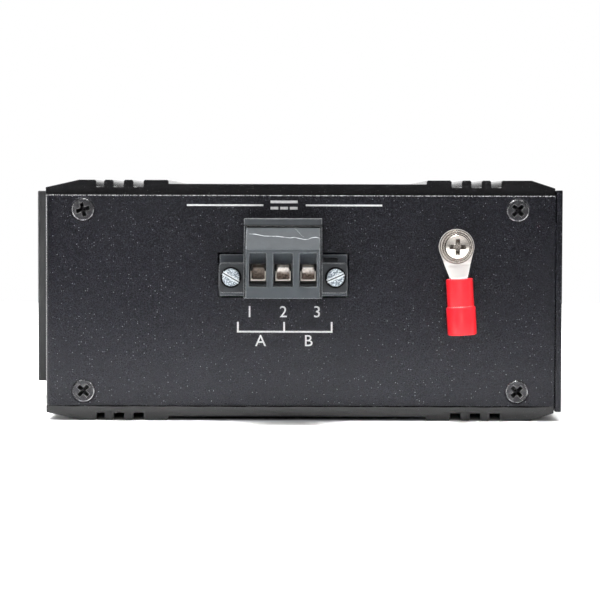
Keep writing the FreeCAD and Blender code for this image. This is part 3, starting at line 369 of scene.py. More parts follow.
def settled(thing):
    """The plain mesh of an object with its modifiers carried out."""
    bpy.context.view_layer.update()
    graph = bpy.context.evaluated_depsgraph_get()
    return bpy.data.meshes.new_from_object(thing.evaluated_get(graph))


def mesh_from(name, shape):
    """Turn an edited shape into a mesh."""
    mesh = bpy.data.meshes.new(name)
    shape.to_mesh(mesh)
    shape.free()
    return mesh


def smoothed(mesh, angle=35):
    """Smooth shading, with edges sharper than an angle left sharp."""
    mesh.shade_smooth()
    mesh.set_sharp_from_angle(angle=math.radians(angle))
    return mesh


def softened(node, radius, *cutters, angle=30):
    """A copy of a node, with other shapes cut out of it and every sharp edge rounded."""
    shape = bmesh.new()
    shape.from_mesh(NODES[node].data)
    bmesh.ops.remove_doubles(shape, verts=shape.verts, dist=MERGE)
    bmesh.ops.dissolve_limit(shape, angle_limit=math.radians(0.5), verts=shape.verts, edges=shape.edges)
    name = f"{node}_dressed"
    rough = linked(name, mesh_from(name, shape))
    if cutters:
        rough = carved(rough, *cutters)
    rough.data.shade_smooth()
    rounding = rough.modifiers.new("rounding", "BEVEL")
    rounding.limit_method = "ANGLE"
    rounding.angle_limit = math.radians(angle)
    rounding.width = radius
    rounding.segments = 3
    rounding.use_clamp_overlap = False
    even = rough.modifiers.new("even", "WEIGHTED_NORMAL")
    even.mode = "FACE_AREA"
    even.weight = 100
    even.keep_sharp = False
    mesh = settled(rough)
    removed(rough)
    return linked(name, mesh)


def lathe(name, profile, segments=64):
    """Turn a profile of (radius, height) points about the Z axis."""
    shape = bmesh.new()
    points = [shape.verts.new((radius, 0, height)) for radius, height in profile]
    edges = [shape.edges.new(pair) for pair in zip(points, points[1:])]
    bmesh.ops.spin(
        shape, geom=points + edges, cent=(0, 0, 0), axis=(0, 0, 1), angle=math.tau, steps=segments
    )
    bmesh.ops.remove_doubles(shape, verts=shape.verts, dist=MERGE)
    bmesh.ops.recalc_face_normals(shape, faces=shape.faces)
    return linked(name, mesh_from(name, shape))


def arc(centre, radius, start, end, steps=6):
    """Points of an arc in a profile, with angles in degrees."""
    points = []
    for step in range(steps + 1):
        angle = math.radians(start + (end - start) * step / steps)
        points.append((centre[0] + radius * math.cos(angle), centre[1] + radius * math.sin(angle)))
    return points


def frustum(name, low, high, bottom, top):
    """A block between two heights, with its own width and length at each end."""
    shape = bmesh.new()
    corners = []
    for height, (width, length) in ((bottom, low), (top, high)):
        for x, y in ((-1, -1), (1, -1), (1, 1), (-1, 1)):
            corners.append(shape.verts.new((x * width / 2, y * length / 2, height)))
    for face in ((3, 2, 1, 0), (4, 5, 6, 7), (0, 1, 5, 4), (1, 2, 6, 5), (2, 3, 7, 6), (3, 0, 4, 7)):
        shape.faces.new([corners[i] for i in face])
    return linked(name, mesh_from(name, shape))


def heading(points, index):
    """The direction of a line of points at one of them."""
    return points[min(index + 1, len(points) - 1)] - points[max(index - 1, 0)]


def strip(name, points, across, thickness):
    """A closed flat strip along points, with a vector across it at each of them."""
    shape = bmesh.new()
    rows = []
    for index, (point, side) in enumerate(zip(points, across)):
        out = heading(points, index).cross(side).normalized() * thickness / 2
        corners = (-side / 2 - out, side / 2 - out, side / 2 + out, -side / 2 + out)
        rows.append([shape.verts.new(point + corner) for corner in corners])
    for first, second in zip(rows, rows[1:]):
        for side in range(4):
            after = (side + 1) % 4
            shape.faces.new((first[side], first[after], second[after], second[side]))
    shape.faces.new(rows[0])
    shape.faces.new(rows[-1])
    bmesh.ops.recalc_face_normals(shape, faces=shape.faces)
    return linked(name, smoothed(mesh_from(name, shape), 40))


def ribbon(name, points, width, normal):
    """A thin strip that lies square to a normal, uneven in width and narrow at its ends."""
    across = []
    for index in range(len(points)):
        share = 0.35 if index in (0, len(points) - 1) else 0.8 + 0.4 * (index % 2)
        across.append(heading(points, index).cross(normal).normalized() * width * share)
    return strip(name, points, across, FILM)


def carved(thing, *cutters):
    """Cut other shapes out of one, and take them all out of the scene but the result."""
    for cutter in cutters:
        tool = thing.modifiers.new("cut", "BOOLEAN")
        tool.operation = "DIFFERENCE"
        tool.solver = "EXACT"
        tool.object = cutter
    mesh = settled(thing)
    name = thing.name
    removed(thing, *cutters)
    return linked(name, smoothed(mesh))


def cross_cutters(reach, width, depth):
    """Tapered blades and a core that cut a cross recess down from height 0."""
    above = 0.3 * MM
    blades = []
    for turn in (0, 90):
        blade = frustum("blade", (reach * 0.8, width * 0.6), (reach * 2.1, width * 1.1), -depth, above)
        blade.data.transform(Matrix.Rotation(math.radians(turn), 4, "Z"))
        blades.append(blade)
    core = frustum("core", (width * 0.6, width * 0.6), (width * 1.7, width * 1.7), -depth * 1.15, above)
    core.data.transform(Matrix.Rotation(math.radians(45), 4, "Z"))
    return [*blades, core]


def shanked(profile, radius, head, shank, length):
    """A head's profile, carried on down its side, under it and down its shank."""
    return [*profile, (radius, -head), (shank, -head), (shank, -length), (0, -length)]


def scatter_tree():
    """A node tree that sets one shape on every point, aimed along its axis and turned about it."""
    tree = bpy.data.node_groups.new("set_in_place", "GeometryNodeTree")
    for label, kind in (
        ("Points", "NodeSocketGeometry"), ("Shape", "NodeSocketObject"),
        ("Scale", "NodeSocketFloat"), ("Finish", "NodeSocketMaterial"),
    ):
        tree.interface.new_socket(label, in_out="INPUT", socket_type=kind)
    tree.interface.new_socket("Pieces", in_out="OUTPUT", socket_type="NodeSocketGeometry")
    made = Graph(tree).node
    given = made("NodeGroupInput")
    shape = made("GeometryNodeObjectInfo", Object=given["Shape"])["Geometry"]
    aim = made("GeometryNodeInputNamedAttribute", data_type="FLOAT_VECTOR", Name="aim")["Attribute"]
    turn = made("GeometryNodeInputNamedAttribute", data_type="FLOAT", Name="turn")["Attribute"]
    facing = made("FunctionNodeAlignRotationToVector", axis="Z", Vector=aim)["Rotation"]
    about = made("FunctionNodeAxisAngleToRotation", Axis=(0, 0, 1), Angle=turn)["Rotation"]
    turned = made("FunctionNodeRotateRotation", rotation_space="LOCAL", Rotation=facing, Rotate_By=about)
    placed = made(
        "GeometryNodeInstanceOnPoints", Points=given["Points"], Instance=shape,
        Rotation=turned["Rotation"], Scale=given["Scale"],
    )
    real = made("GeometryNodeRealizeInstances", Geometry=placed["Instances"])["Geometry"]
    finished = made("GeometryNodeSetMaterial", Geometry=real, Material=given["Finish"])["Geometry"]
    made("NodeGroupOutput", Pieces=finished)
    return tree


def scattered(name, shape, spots, finish):
    """One mesh of a shape set at many spots, each a place, an axis and a turn in degrees."""
    tree = bpy.data.node_groups.get("set_in_place") or scatter_tree()
    mesh = bpy.data.meshes.new(name)
    mesh.from_pydata([place for place, _, _ in spots], [], [])
    mesh.attributes.new("aim", "FLOAT_VECTOR", "POINT")
    mesh.attributes.new("turn", "FLOAT", "POINT")
    for index, (_, aim, turn) in enumerate(spots):
        mesh.attributes["aim"].data[index].vector = aim
        mesh.attributes["turn"].data[index].value = math.radians(turn)
    points = linked(name, mesh)
    setter = points.modifiers.new("set_in_place", "NODES")
    setter.node_group = tree
    values = {"Shape": shape, "Scale": 1.0, "Finish": finish.material}
    for item in tree.interface.items_tree:
        if item.in_out == "INPUT" and item.name in values:
            setter[item.identifier] = values[item.name]
    made = settled(points)
    removed(points, shape)
    return linked(name, made)


def carried(piece, finish, node):
    """Give a piece its finish, and let it ride where a node rides."""
    piece.data.materials.clear()
    piece.data.materials.append(finish.material)
    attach(piece, NODES[node]["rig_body"])


def dressed(piece, finish, node):
    """Let a piece ride where a node rides, and stand for it."""
    carried(piece, finish, node)
    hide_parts(node)


def coated(node, radius, finish, *cutters, **more):
    """Dress a node in its own shape with its edges rounded."""
    dressed(softened(node, radius, *cutters, **more), finish, node)


def set_out(node, shape, spots, finish):
    """Dress a node of many like solids in one shape, set at their spots."""
    dressed(scattered(f"{node}_dressed", shape, spots, finish), finish, node)


def joined(name, things):
    """Several mesh objects made one."""
    shape = bmesh.new()
    for thing in things:
        shape.from_mesh(thing.data)
    removed(*things)
    return linked(name, mesh_from(name, shape))


def facing_camera(place):
    """The frame of a flat shape that faces the camera."""
    return Matrix.Translation(place) @ Matrix.Rotation(math.radians(90), 4, "X")


def facing_out(place):
    """The frame of a flat shape that faces out of the port panel."""
    return Matrix.Translation(place) @ Matrix(((0, 0, 1), (1, 0, 0), (0, 1, 0))).to_4x4()


def printed(body, height, thickness, frame_of_mark):
    """A mark as a thin mesh: frame_of_mark carries the text's own plane to its surface."""
    capital_height = 0.69
    text = bpy.data.curves.new("mark", "FONT")
    text.body = body
    text.size = height / capital_height
    text.align_x = "CENTER"
    text.align_y = "CENTER"
    text.extrude = thickness / 2
    text.space_character = 1.07
    text.resolution_u = 4
    holder = linked("mark", text)
    mesh = settled(holder)
    removed(holder)
    mesh.transform(frame_of_mark)
    return linked("mark", mesh)


def bar(name, low, high):
    """A block between two corners."""
    size = high - low
    block = frustum(name, (size.x, size.y), (size.x, size.y), 0, size.z)
    block.data.transform(Matrix.Translation(seat((low, high), z=low.z)))
    return block


def solids(node):
    """The lowest and highest corners of each separate solid in a node, sorted by the lowest."""
    shape = bmesh.new()
    shape.from_mesh(NODES[node].data)
    bmesh.ops.remove_doubles(shape, verts=shape.verts, dist=MERGE)
    left = set(shape.verts)
    boxes = []
    while left:
        group, edge = set(), [left.pop()]
        while edge:
            point = edge.pop()
            group.add(point)
            near = {line.other_vert(point) for line in point.link_edges} & left
            left -= near
            edge.extend(near)
        boxes.append([Vector([pick(p.co[axis] for p in group) for axis in range(3)]) for pick in (min, max)])
    shape.free()
    return sorted(boxes, key=lambda corners: tuple(round(c, 6) for c in corners[0]))


# Pieces


def settings(context):
    """The sizes and the colours that a user may change."""
    return context.scene.switch_sizes, context.scene.switch_colours


class SwitchPiece:
    """What the operators share."""

    bl_options = {"REGISTER", "UNDO"}


class SWITCH_OT_walls(SwitchPiece, bpy.types.Operator):
    """Coat the two extruded side walls and the folded tray between them"""

    bl_idname = "switch.walls"
    bl_label = "Walls and tray"

    def gap_under_plate(self):
        """A near-black strip of painted shadow between the near end plate and the foot of the lower wall."""
        low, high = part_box("chassis_tray")
        height, steps = 0.4 * MM, 24
        points = []
        for step in range(steps + 1):
            x = low.x + (high.x - low.x) * (0.01 + 0.98 * step / steps)
            points.append(Vector((x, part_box("lower_wall")[0].y, low.z - 0.3 * height)))
        # Painted shadow: near-black without sheen, paler in a few patches
        shade = Finish("plate_gap_shade", PAINTED_SHADE_BLACK, 0.9, Specular_IOR_Level=0.0)
        shade.stain((0.03, 0.03, 0.032), 2 * MM, 0.55, 0.7)
        carried(ribbon("plate_gap", points, height, TOWARDS_CAMERA), shade, "lower_wall")

    def execute(self, context):
        sizes, colours = settings(context)
        coat = powder_coat("black_powder_coat", colours.coat, colours.speck, sizes.grain)
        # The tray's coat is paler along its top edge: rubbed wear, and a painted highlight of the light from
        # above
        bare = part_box("chassis_tray")[1].z - sizes.sheet_edge
        tray_coat = powder_coat("tray_powder_coat", colours.coat, colours.speck, sizes.grain, bare)
        skin = anodised("black_anodised", colours.wall)
        for node in ("upper_wall", "lower_wall"):
            coated(node, sizes.wall_edge, skin, angle=20)
        coated("chassis_tray", sizes.sheet_edge, tray_coat)
        self.gap_under_plate()
        coated("front_panel", sizes.sheet_edge, coat)
        return {"FINISHED"}


class SWITCH_OT_cover_screws(SwitchPiece, bpy.types.Operator):
    """Set the black countersunk screws of the end plates and the port panel"""

    bl_idname = "switch.cover_screws"
    bl_label = "Cover screws"

    # The rounded rim of a head, and the gap round it
    rim, gap = 0.24 * MM, 0.06 * MM

    def head(self, radius, shank, length):
        """A countersunk screw with a cross recess, its face at height 0."""
        edge = radius - self.gap
        inner = edge - self.rim
        profile = [(0, 0), (inner - 0.05 * MM, 0), (inner, 0), (edge, -self.rim)]
        profile += [(shank, -edge + shank - self.rim), (shank, -length), (0, -length)]
        return carved(lathe("screw", profile), *cross_cutters(1.5 * MM, 0.85 * MM, 2.6 * MM))

    def bare_rim(self, radius):
        """The rounded rim of a head, where the black finish has worn off."""
        edge = radius - self.gap
        inner = edge - 1.2 * self.rim
        profile = [(inner, -0.4 * self.rim), (inner, 0), *arc((edge - self.rim, -self.rim), self.rim, 90, 0)]
        ring = lathe("rim", [*profile, (inner, -self.rim), profile[0]])
        smoothed(ring.data, 50)
        return ring

    def set_screws(self, node, spots, radius, length, steel, bare):
        """Set one node's screws and their bare rims."""
        set_out(node, self.head(radius, radius / 2, length), spots, steel)
        carried(scattered(f"{node}_rims", self.bare_rim(radius), spots, bare), bare, node)

    def execute(self, context):
        proud = context.scene.switch_sizes.proud
        steel = Finish("black_screw_steel", (0.024, 0.024, 0.026), 0.32, 0.85, Specular_IOR_Level=0.15)
        steel.stain((0.09, 0.09, 0.09), 1.0 * MM, 0.5, 0.75, 0.6, detail=4.0)
        # Painted highlights, which also stand for rubbed wear, on the heads' rims and recess edges; painted
        # shade deep in the recesses
        steel.rub(0.1 * MM, (0.8, 0.8, 0.81), 0.0, 1.0)
        steel.deepen(PAINTED_SHADE_BLACK, 1.8 * MM).relief(0.3 * MM, 0.012 * MM, detail=3.0)
        bare = Finish("worn_rim_steel", (0.05, 0.05, 0.053), 0.26, 0.9)
        bare.stain((0.55, 0.55, 0.56), 1.6 * MM, 0.46, 0.66, rough=0.6).relief(0.3 * MM, 0.008 * MM)
        near_turns, far_turns = iter((45, 15, 45, 45)), iter((20, 70, 35, 60))
        near, far = [], []
        screws = solids("end_screws")
        for low, high in screws:
            if low.y < 0:
                near.append((seat((low, high), y=low.y - proud), TOWARDS_CAMERA, next(near_turns)))
            else:
                far.append((seat((low, high), y=high.y), AWAY, next(far_turns)))
        low, high = screws[0]
        self.set_screws("end_screws", near + far, (high.x - low.x) / 2, high.y - low.y, steel, bare)
        front = []
        for (low, high), turn in zip(solids("panel_screws"), (30, 55)):
            front.append((seat((low, high), x=high.x), OUT_OF_PANEL, turn))
        self.set_screws("panel_screws", front, (high.z - low.z) / 2, high.x - low.x, steel, bare)
        return {"FINISHED"}


class SWITCH_OT_rail_bracket(SwitchPiece, bpy.types.Operator):
    """Dress the rail bracket with its spring and screws"""

    bl_idname = "switch.rail_bracket"
    bl_label = "Rail bracket"

    def execute(self, context):
        sizes, colours = settings(context)
        coated("din_bracket", sizes.bracket_edge, smooth_coat("bracket_coat", colours.bracket))
        spring = metal("spring_steel", (0.5, 0.5, 0.51), 0.3, (0.3, 0.29, 0.28))
        coated("din_spring", sizes.pressed_edge, spring)
        zinc = metal("bracket_screw_zinc", colours.zinc, 0.3, (0.5, 0.5, 0.52))
        spots = []
        for (low, high), turn in zip(solids("din_screws"), (20, 65)):
            spots.append((seat((low, high), x=low.x), OUT_OF_BACK, turn))
        radius, length = (high.z - low.z) / 2, high.x - low.x
        rim, head, shank = 0.45 * MM, 2.0 * MM, 1.5 * MM
        profile = [(0, 0), *arc((radius - rim, -rim), rim, 90, 0)]
        screw = lathe("screw", shanked(profile, radius, head, shank, length))
        set_out("din_screws", carved(screw, *cross_cutters(1.6 * MM, 0.7 * MM, 1.2 * MM)), spots, zinc)
        return {"FINISHED"}


class SWITCH_OT_terminal(SwitchPiece, bpy.types.Operator):
    """Dress the pluggable power terminal: header, plug and its flange screws"""

    bl_idname = "switch.terminal"
    bl_label = "Power terminal"

    # The plug's form from its lowest corner: where its slope starts, and how far it rises and runs back
    knee, rise, run = 9.9 * MM, 4.7 * MM, 3.0 * MM
    # How far its flanges reach out at the sides and lie back
    flange_reach, flange_face = 5.3 * MM, 7.3 * MM

    def flange_screw(self, radius, length):
        """A cheese-head screw whose slot has thrown up bright lips, their tops at height 0."""
        head, rim, shank, lip, burr = 1.6 * MM, 0.18 * MM, 1.15 * MM, 0.1 * MM, 0.12 * MM
        profile = [(0, -lip), *arc((radius - rim, -lip - rim), rim, 90, 0)]
        body = lathe("head", shanked(profile, radius, head, shank, length))
        reach, slot = 2 * (radius + burr), 4 * radius
        lips = frustum("lips", (reach, 0.9 * MM), (reach - 0.1 * MM, 0.7 * MM), -0.5 * MM, 0)
        halves = []
        for half in (body, lips):
            cutter = frustum("slot", (slot, 0.2 * MM), (slot, 0.26 * MM), -0.8 * MM, 0.2 * MM)
            halves.append(carved(half, cutter))
        return joined("screw", halves)

    def head_gap(self, corners, face):
        """A ring of painted shadow on the flange round a screw's head."""
        low, high = corners
        inner, half = (high.z - low.z) / 2 + 0.02 * MM, FILM / 2
        outer = inner + 0.36 * MM
        ring = lathe("seam", [(inner, -half), (outer, -half), (outer, half), (inner, half), (inner, -half)])
        ring.data.transform(facing_camera(seat(corners, y=face)))
        return ring

    def seams(self, low, high, finish):
        """Strips of painted shadow: fine dark lines on the plug's cheeks, under its lip and round its flange
        screws.
        """
        cheek, setback, aside, under = 0.45 * MM, 0.25 * MM, 0.2 * MM, 0.27 * MM
        seam_shadow_width, lip_shadow_width = 0.26 * MM, 0.34 * MM
        bottom, foot = Vector((0, low.y, low.z + 0.3 * MM)), Vector((0, low.y, low.z + self.knee))
        head = foot + Vector((0, self.run, self.rise))
        down = (foot - head).normalized()
        left, right = low.x + self.flange_reach + cheek, high.x - self.flange_reach - cheek
        strips = []
        for place in (left - aside, right + aside):
            spots = [Vector((place, setback, 0)) + spot for spot in (bottom, foot, head)]
            strips.append(strip("seam", spots, [Vector((seam_shadow_width, 0, 0))] * len(spots), FILM))
        spots = [Vector((place, 0, 0)) + head + down * under for place in (left, right)]
        strips.append(strip("seam", spots, [down * lip_shadow_width] * len(spots), FILM))
        strips += [self.head_gap(corners, low.y + self.flange_face) for corners in solids("flange_screws")]
        carried(joined("plug_seams", strips), finish, "plug_housing")

    def scratches(self, low, finish):
        """The long scratch on the plug's slope, and a fainter one across it."""
        normal = Vector((0, -self.rise, self.run)).normalized()
        long_scratch = (
            (-7.23, 38.99), (-6.02, 38.93), (-4.21, 38.57), (-1.59, 38.51), (1.03, 38.19), (1.84, 38.33),
            (3.86, 37.89), (4.66, 37.93), (5.27, 38.21), (6.18, 38.35), (6.98, 38.15),
        )
        faint_scratch = ((1.76, 40.37), (2.4, 39.7), (3.1, 38.95), (3.75, 38.31))
        strips = []
        for width, spots in ((0.13 * MM, long_scratch), (0.03 * MM, faint_scratch)):
            points = []
            for x, z in spots:
                height = z * MM - low.z - self.knee
                points.append(Vector((x * MM, low.y + height * self.run / self.rise, z * MM)))
            strips.append(ribbon("scratch", points, width, normal))
        carried(joined("plug_scratches", strips), finish, "plug_housing")

    def plug_plastic(self, low, high, colour, worn_and_lit_edge):
        """Grey plastic with painted shade on the flanges, the lip and in its hollows, pale edges that are
        painted highlights as well as wear, and a painted shadow line under the lip.
        """
        grey = plastic("plug_plastic", colour, 0.42, lighter=1.7)
        shade = (0.011, 0.012, 0.014)
        # Painted shade on the flanges, which lie further back, and on the top of the lip; painted shade in
        # the hollows; pale edges that are painted highlights as well as rubbed wear
        grey.grade(shade, "Y", low.y + 5.5 * MM, low.y + 6.5 * MM, 0.85)
        grey.grade(shade, "Z", high.z - 1.65 * MM, high.z - 1.5 * MM, 0.5)
        grey.deepen(shade, 4 * MM, 0.7).rub(0.2 * MM, worn_and_lit_edge)
        # Painted shadow: a dark line just under the lip
        lip = low.z + self.knee + self.rise
        above = grey.between(grey.axis("Z"), lip - 0.1 * MM, lip)
        below = grey.between(grey.axis("Z"), lip + 0.3 * MM, lip + 0.2 * MM)
        return grey.tint(grey.times(above, below), PAINTED_SHADE_BLACK)

    def execute(self, context):
        sizes, colours = settings(context)
        # Pale grey for edges: painted highlights as well as rubbed wear, on the header and the plug
        worn_and_lit_edge = (0.42, 0.43, 0.44)
        dark = plastic("header_plastic", colours.header, 0.45).rub(0.2 * MM, worn_and_lit_edge)
        low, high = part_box("power_header")
        notch_low = Vector((high.x - 4.85 * MM, low.y - 0.2 * MM, high.z - 2.2 * MM))
        notch_high = Vector((high.x - 1.9 * MM, low.y + 1.4 * MM, high.z - 0.7 * MM))
        coated("power_header", sizes.moulded_edge, dark, bar("notch", notch_low, notch_high))
        low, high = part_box("plug_housing")
        coated("plug_housing", sizes.moulded_edge, self.plug_plastic(low, high, colours.plug, worn_and_lit_edge))
        # Painted shadow: near-black without sheen, for the dark lines on the plug
        gap = Finish("seam_shade", PAINTED_SHADE_BLACK, 0.9, Specular_IOR_Level=0.0)
        self.seams(low, high, gap.relief(0.3 * MM, 0.01 * MM))
        chalk = Finish("scratched_plastic", (0.34, 0.35, 0.36), 0.6)
        self.scratches(low, chalk.stain((0.08, 0.085, 0.09), 0.7 * MM, 0.45, 0.65, 0.85, detail=2.0))
        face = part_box("flange_screws")[0].y
        zinc = Finish("flange_screw_zinc", [0.72 * part for part in colours.zinc], 0.4, 0.75)
        # Painted shade below the tops of the heads, in the slots and on their sides; painted highlights,
        # also standing for rubbed wear, on the edges; painted shade in the hollows
        zinc.grade((0.08, 0.1, 0.12), "Y", face + 0.03 * MM, face + 0.08 * MM, 0.95)
        zinc.stain((0.62, 0.68, 0.72), 0.3 * MM, 0.47, 0.6, 0.8)
        zinc.rub(0.12 * MM, (0.72, 0.78, 0.8), 0.1, 0.8)
        zinc.deepen((0.02, 0.02, 0.022), 0.5 * MM).relief(0.3 * MM, 0.04 * MM)
        spots = []
        for (low, high), turn in zip(solids("flange_screws"), (-30, 24)):
            spots.append((seat((low, high), y=low.y), TOWARDS_CAMERA, turn))
        set_out("flange_screws", self.flange_screw((high.z - low.z) / 2, high.y - low.y), spots, zinc)
        return {"FINISHED"}


class SWITCH_OT_clamps(SwitchPiece, bpy.types.Operator):
    """Dress the rising wire clamps, their screws and the pole contacts"""

    bl_idname = "switch.clamps"
    bl_label = "Wire clamps"

    # How far the cutters reach past what they cut
    past = 1 * MM

    def slab(self, corners, aside, near, far, bottom, top):
        """A cutter across a box, between depths and heights from its lowest corner."""
        low, high = corners
        start = Vector((low.x - aside, low.y + near, low.z + bottom))
        return bar("cut", start, Vector((high.x + aside, low.y + far, low.z + top)))

    def cage_cutters(self, corners):
        """Cutters that take a cage's cheeks back above its ears, and thin them from there to its sill."""
        depth, ear, sill, ear_top, over = 2.4 * MM, 0.2 * MM, 0.75 * MM, 2.3 * MM, 5.5 * MM
        through = corners[1].y - corners[0].y + self.past
        yield self.slab(corners, self.past, -self.past, depth, ear_top, over)
        yield self.slab(corners, -ear, -self.past, through, sill, ear_top + 0.3 * MM)

    def tongue(self, low, high):
        """The bent front of one contact: a wide foot, a narrower neck that rolls back at its top."""
        foot, shoulder, top = low.z + 0.6 * MM, low.z + 2.2 * MM, low.z + 3.42 * MM
        wide, narrow, sheet, roll, hollow = 1.38 * MM, 1.1 * MM, 0.12 * MM, 0.3 * MM, 0.025 * MM
        centre, front = seat((low, high)).x, low.y + 3.7 * MM
        levels = [foot, foot + 0.5 * MM, foot + 1.0 * MM, shoulder - 0.05 * MM, shoulder + 0.05 * MM]
        levels += [shoulder + (top - shoulder) * step / 5 for step in range(1, 6)]
        shape = bmesh.new()
        rows = []
        for z in levels:
            y = front + roll * ((z - foot) / (top - foot)) ** 3
            half = wide if z < shoulder else narrow
            row = []
            for step in range(7):
                across = step / 3 - 1
                row.append(shape.verts.new((centre + across * half, y + hollow * across ** 2, z)))
            rows.append(row)
        for first, second in zip(rows, rows[1:]):
            for index in range(6):
                shape.faces.new((first[index], first[index + 1], second[index + 1], second[index]))
        bmesh.ops.recalc_face_normals(shape, faces=shape.faces)
        plate = linked("tongue", mesh_from("tongue", shape))
        plate.data.shade_smooth()
        thick = plate.modifiers.new("sheet", "SOLIDIFY")
        thick.thickness = sheet
        thick.offset = 0
        mesh = settled(plate)
        removed(plate)
        return linked("tongue", smoothed(mesh, 40))

    def bronze(self, low, shade):
        """Contact bronze: brown painted shade and dark spots over its lower part, dark on the first pole,
        and painted shade on the bars above the tongues' tops.
        """
        bronze = Finish("contact_bronze", (0.95, 0.9, 0.84), 0.36, 0.55)
        shaded = bronze.between(bronze.axis("Z"), low.z + 2.9 * MM, low.z + 1.5 * MM, 0.0, 0.95)
        bronze.tint(shaded, (0.085, 0.046, 0.027))
        bronze.grade((0.075, 0.054, 0.039), "X", -2.4 * MM, -3.4 * MM, 0.92)
        spotted = bronze.between(bronze.noise(0.4 * MM, 3.0), 0.47, 0.6, 0.0, 0.85)
        bronze.tint(bronze.times(shaded, spotted), (0.02, 0.012, 0.008))
        bronze.stain((0.2, 0.14, 0.1), 0.5 * MM, 0.55, 0.7, 0.6)
        bronze.grade(shade, "Z", low.z + 3.4 * MM, low.z + 3.46 * MM)
        return bronze.wear(bronze.noise(0.4 * MM, 3.0), 0.3, 0.44).relief(0.6 * MM, 0.008 * MM)

    def execute(self, context):
        sizes, colours = settings(context)
        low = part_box("clamp_cage_1")[0]
        shade = (0.02, 0.017, 0.015)
        plated = Finish("clamp_plating", colours.clamp, 0.42, 0.55)
        plated.stain((0.5, 0.4, 0.3), 1.2 * MM, 0.5, 0.75, 0.5)
        plated.grade(shade, "Y", low.y + 0.4 * MM, low.y + 1.6 * MM)
        plated.grade(shade, "Z", low.z + 2.3 * MM, low.z + 2.5 * MM)
        plated.grade(shade, "Z", low.z + 0.42 * MM, low.z + 0.32 * MM).relief(0.4 * MM, 0.01 * MM)
        zinc = metal("clamp_screw_zinc", (0.34, 0.36, 0.38), 0.42, (0.24, 0.25, 0.26))
        # Painted highlights, which also stand for rubbed wear, on the edges; painted shade in the hollows
        zinc.rub(0.1 * MM, (0.7, 0.72, 0.75)).deepen((0.03, 0.03, 0.032), 0.7 * MM)
        for pole in (1, 2, 3):
            cage = f"clamp_cage_{pole}"
            coated(cage, sizes.pressed_edge, plated, *self.cage_cutters(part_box(cage)))
            coated(f"clamp_screw_{pole}", sizes.pressed_edge, zinc)
        poles = solids("pole_contacts")
        fronts = []
        for corners in poles:
            fronts.append(self.slab(corners, self.past, 3.7 * MM, 4.35 * MM, 1.2 * MM, 3.4 * MM))
            fronts.append(self.slab(corners, self.past, -self.past, 2.7 * MM, 3.2 * MM, 5 * MM))
        contacts = softened("pole_contacts", sizes.pressed_edge, *fronts)
        piece = joined("pole_contacts_dressed", [contacts, *(self.tongue(*corners) for corners in poles)])
        dressed(piece, self.bronze(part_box("pole_contacts")[0], shade), "pole_contacts")
        return {"FINISHED"}


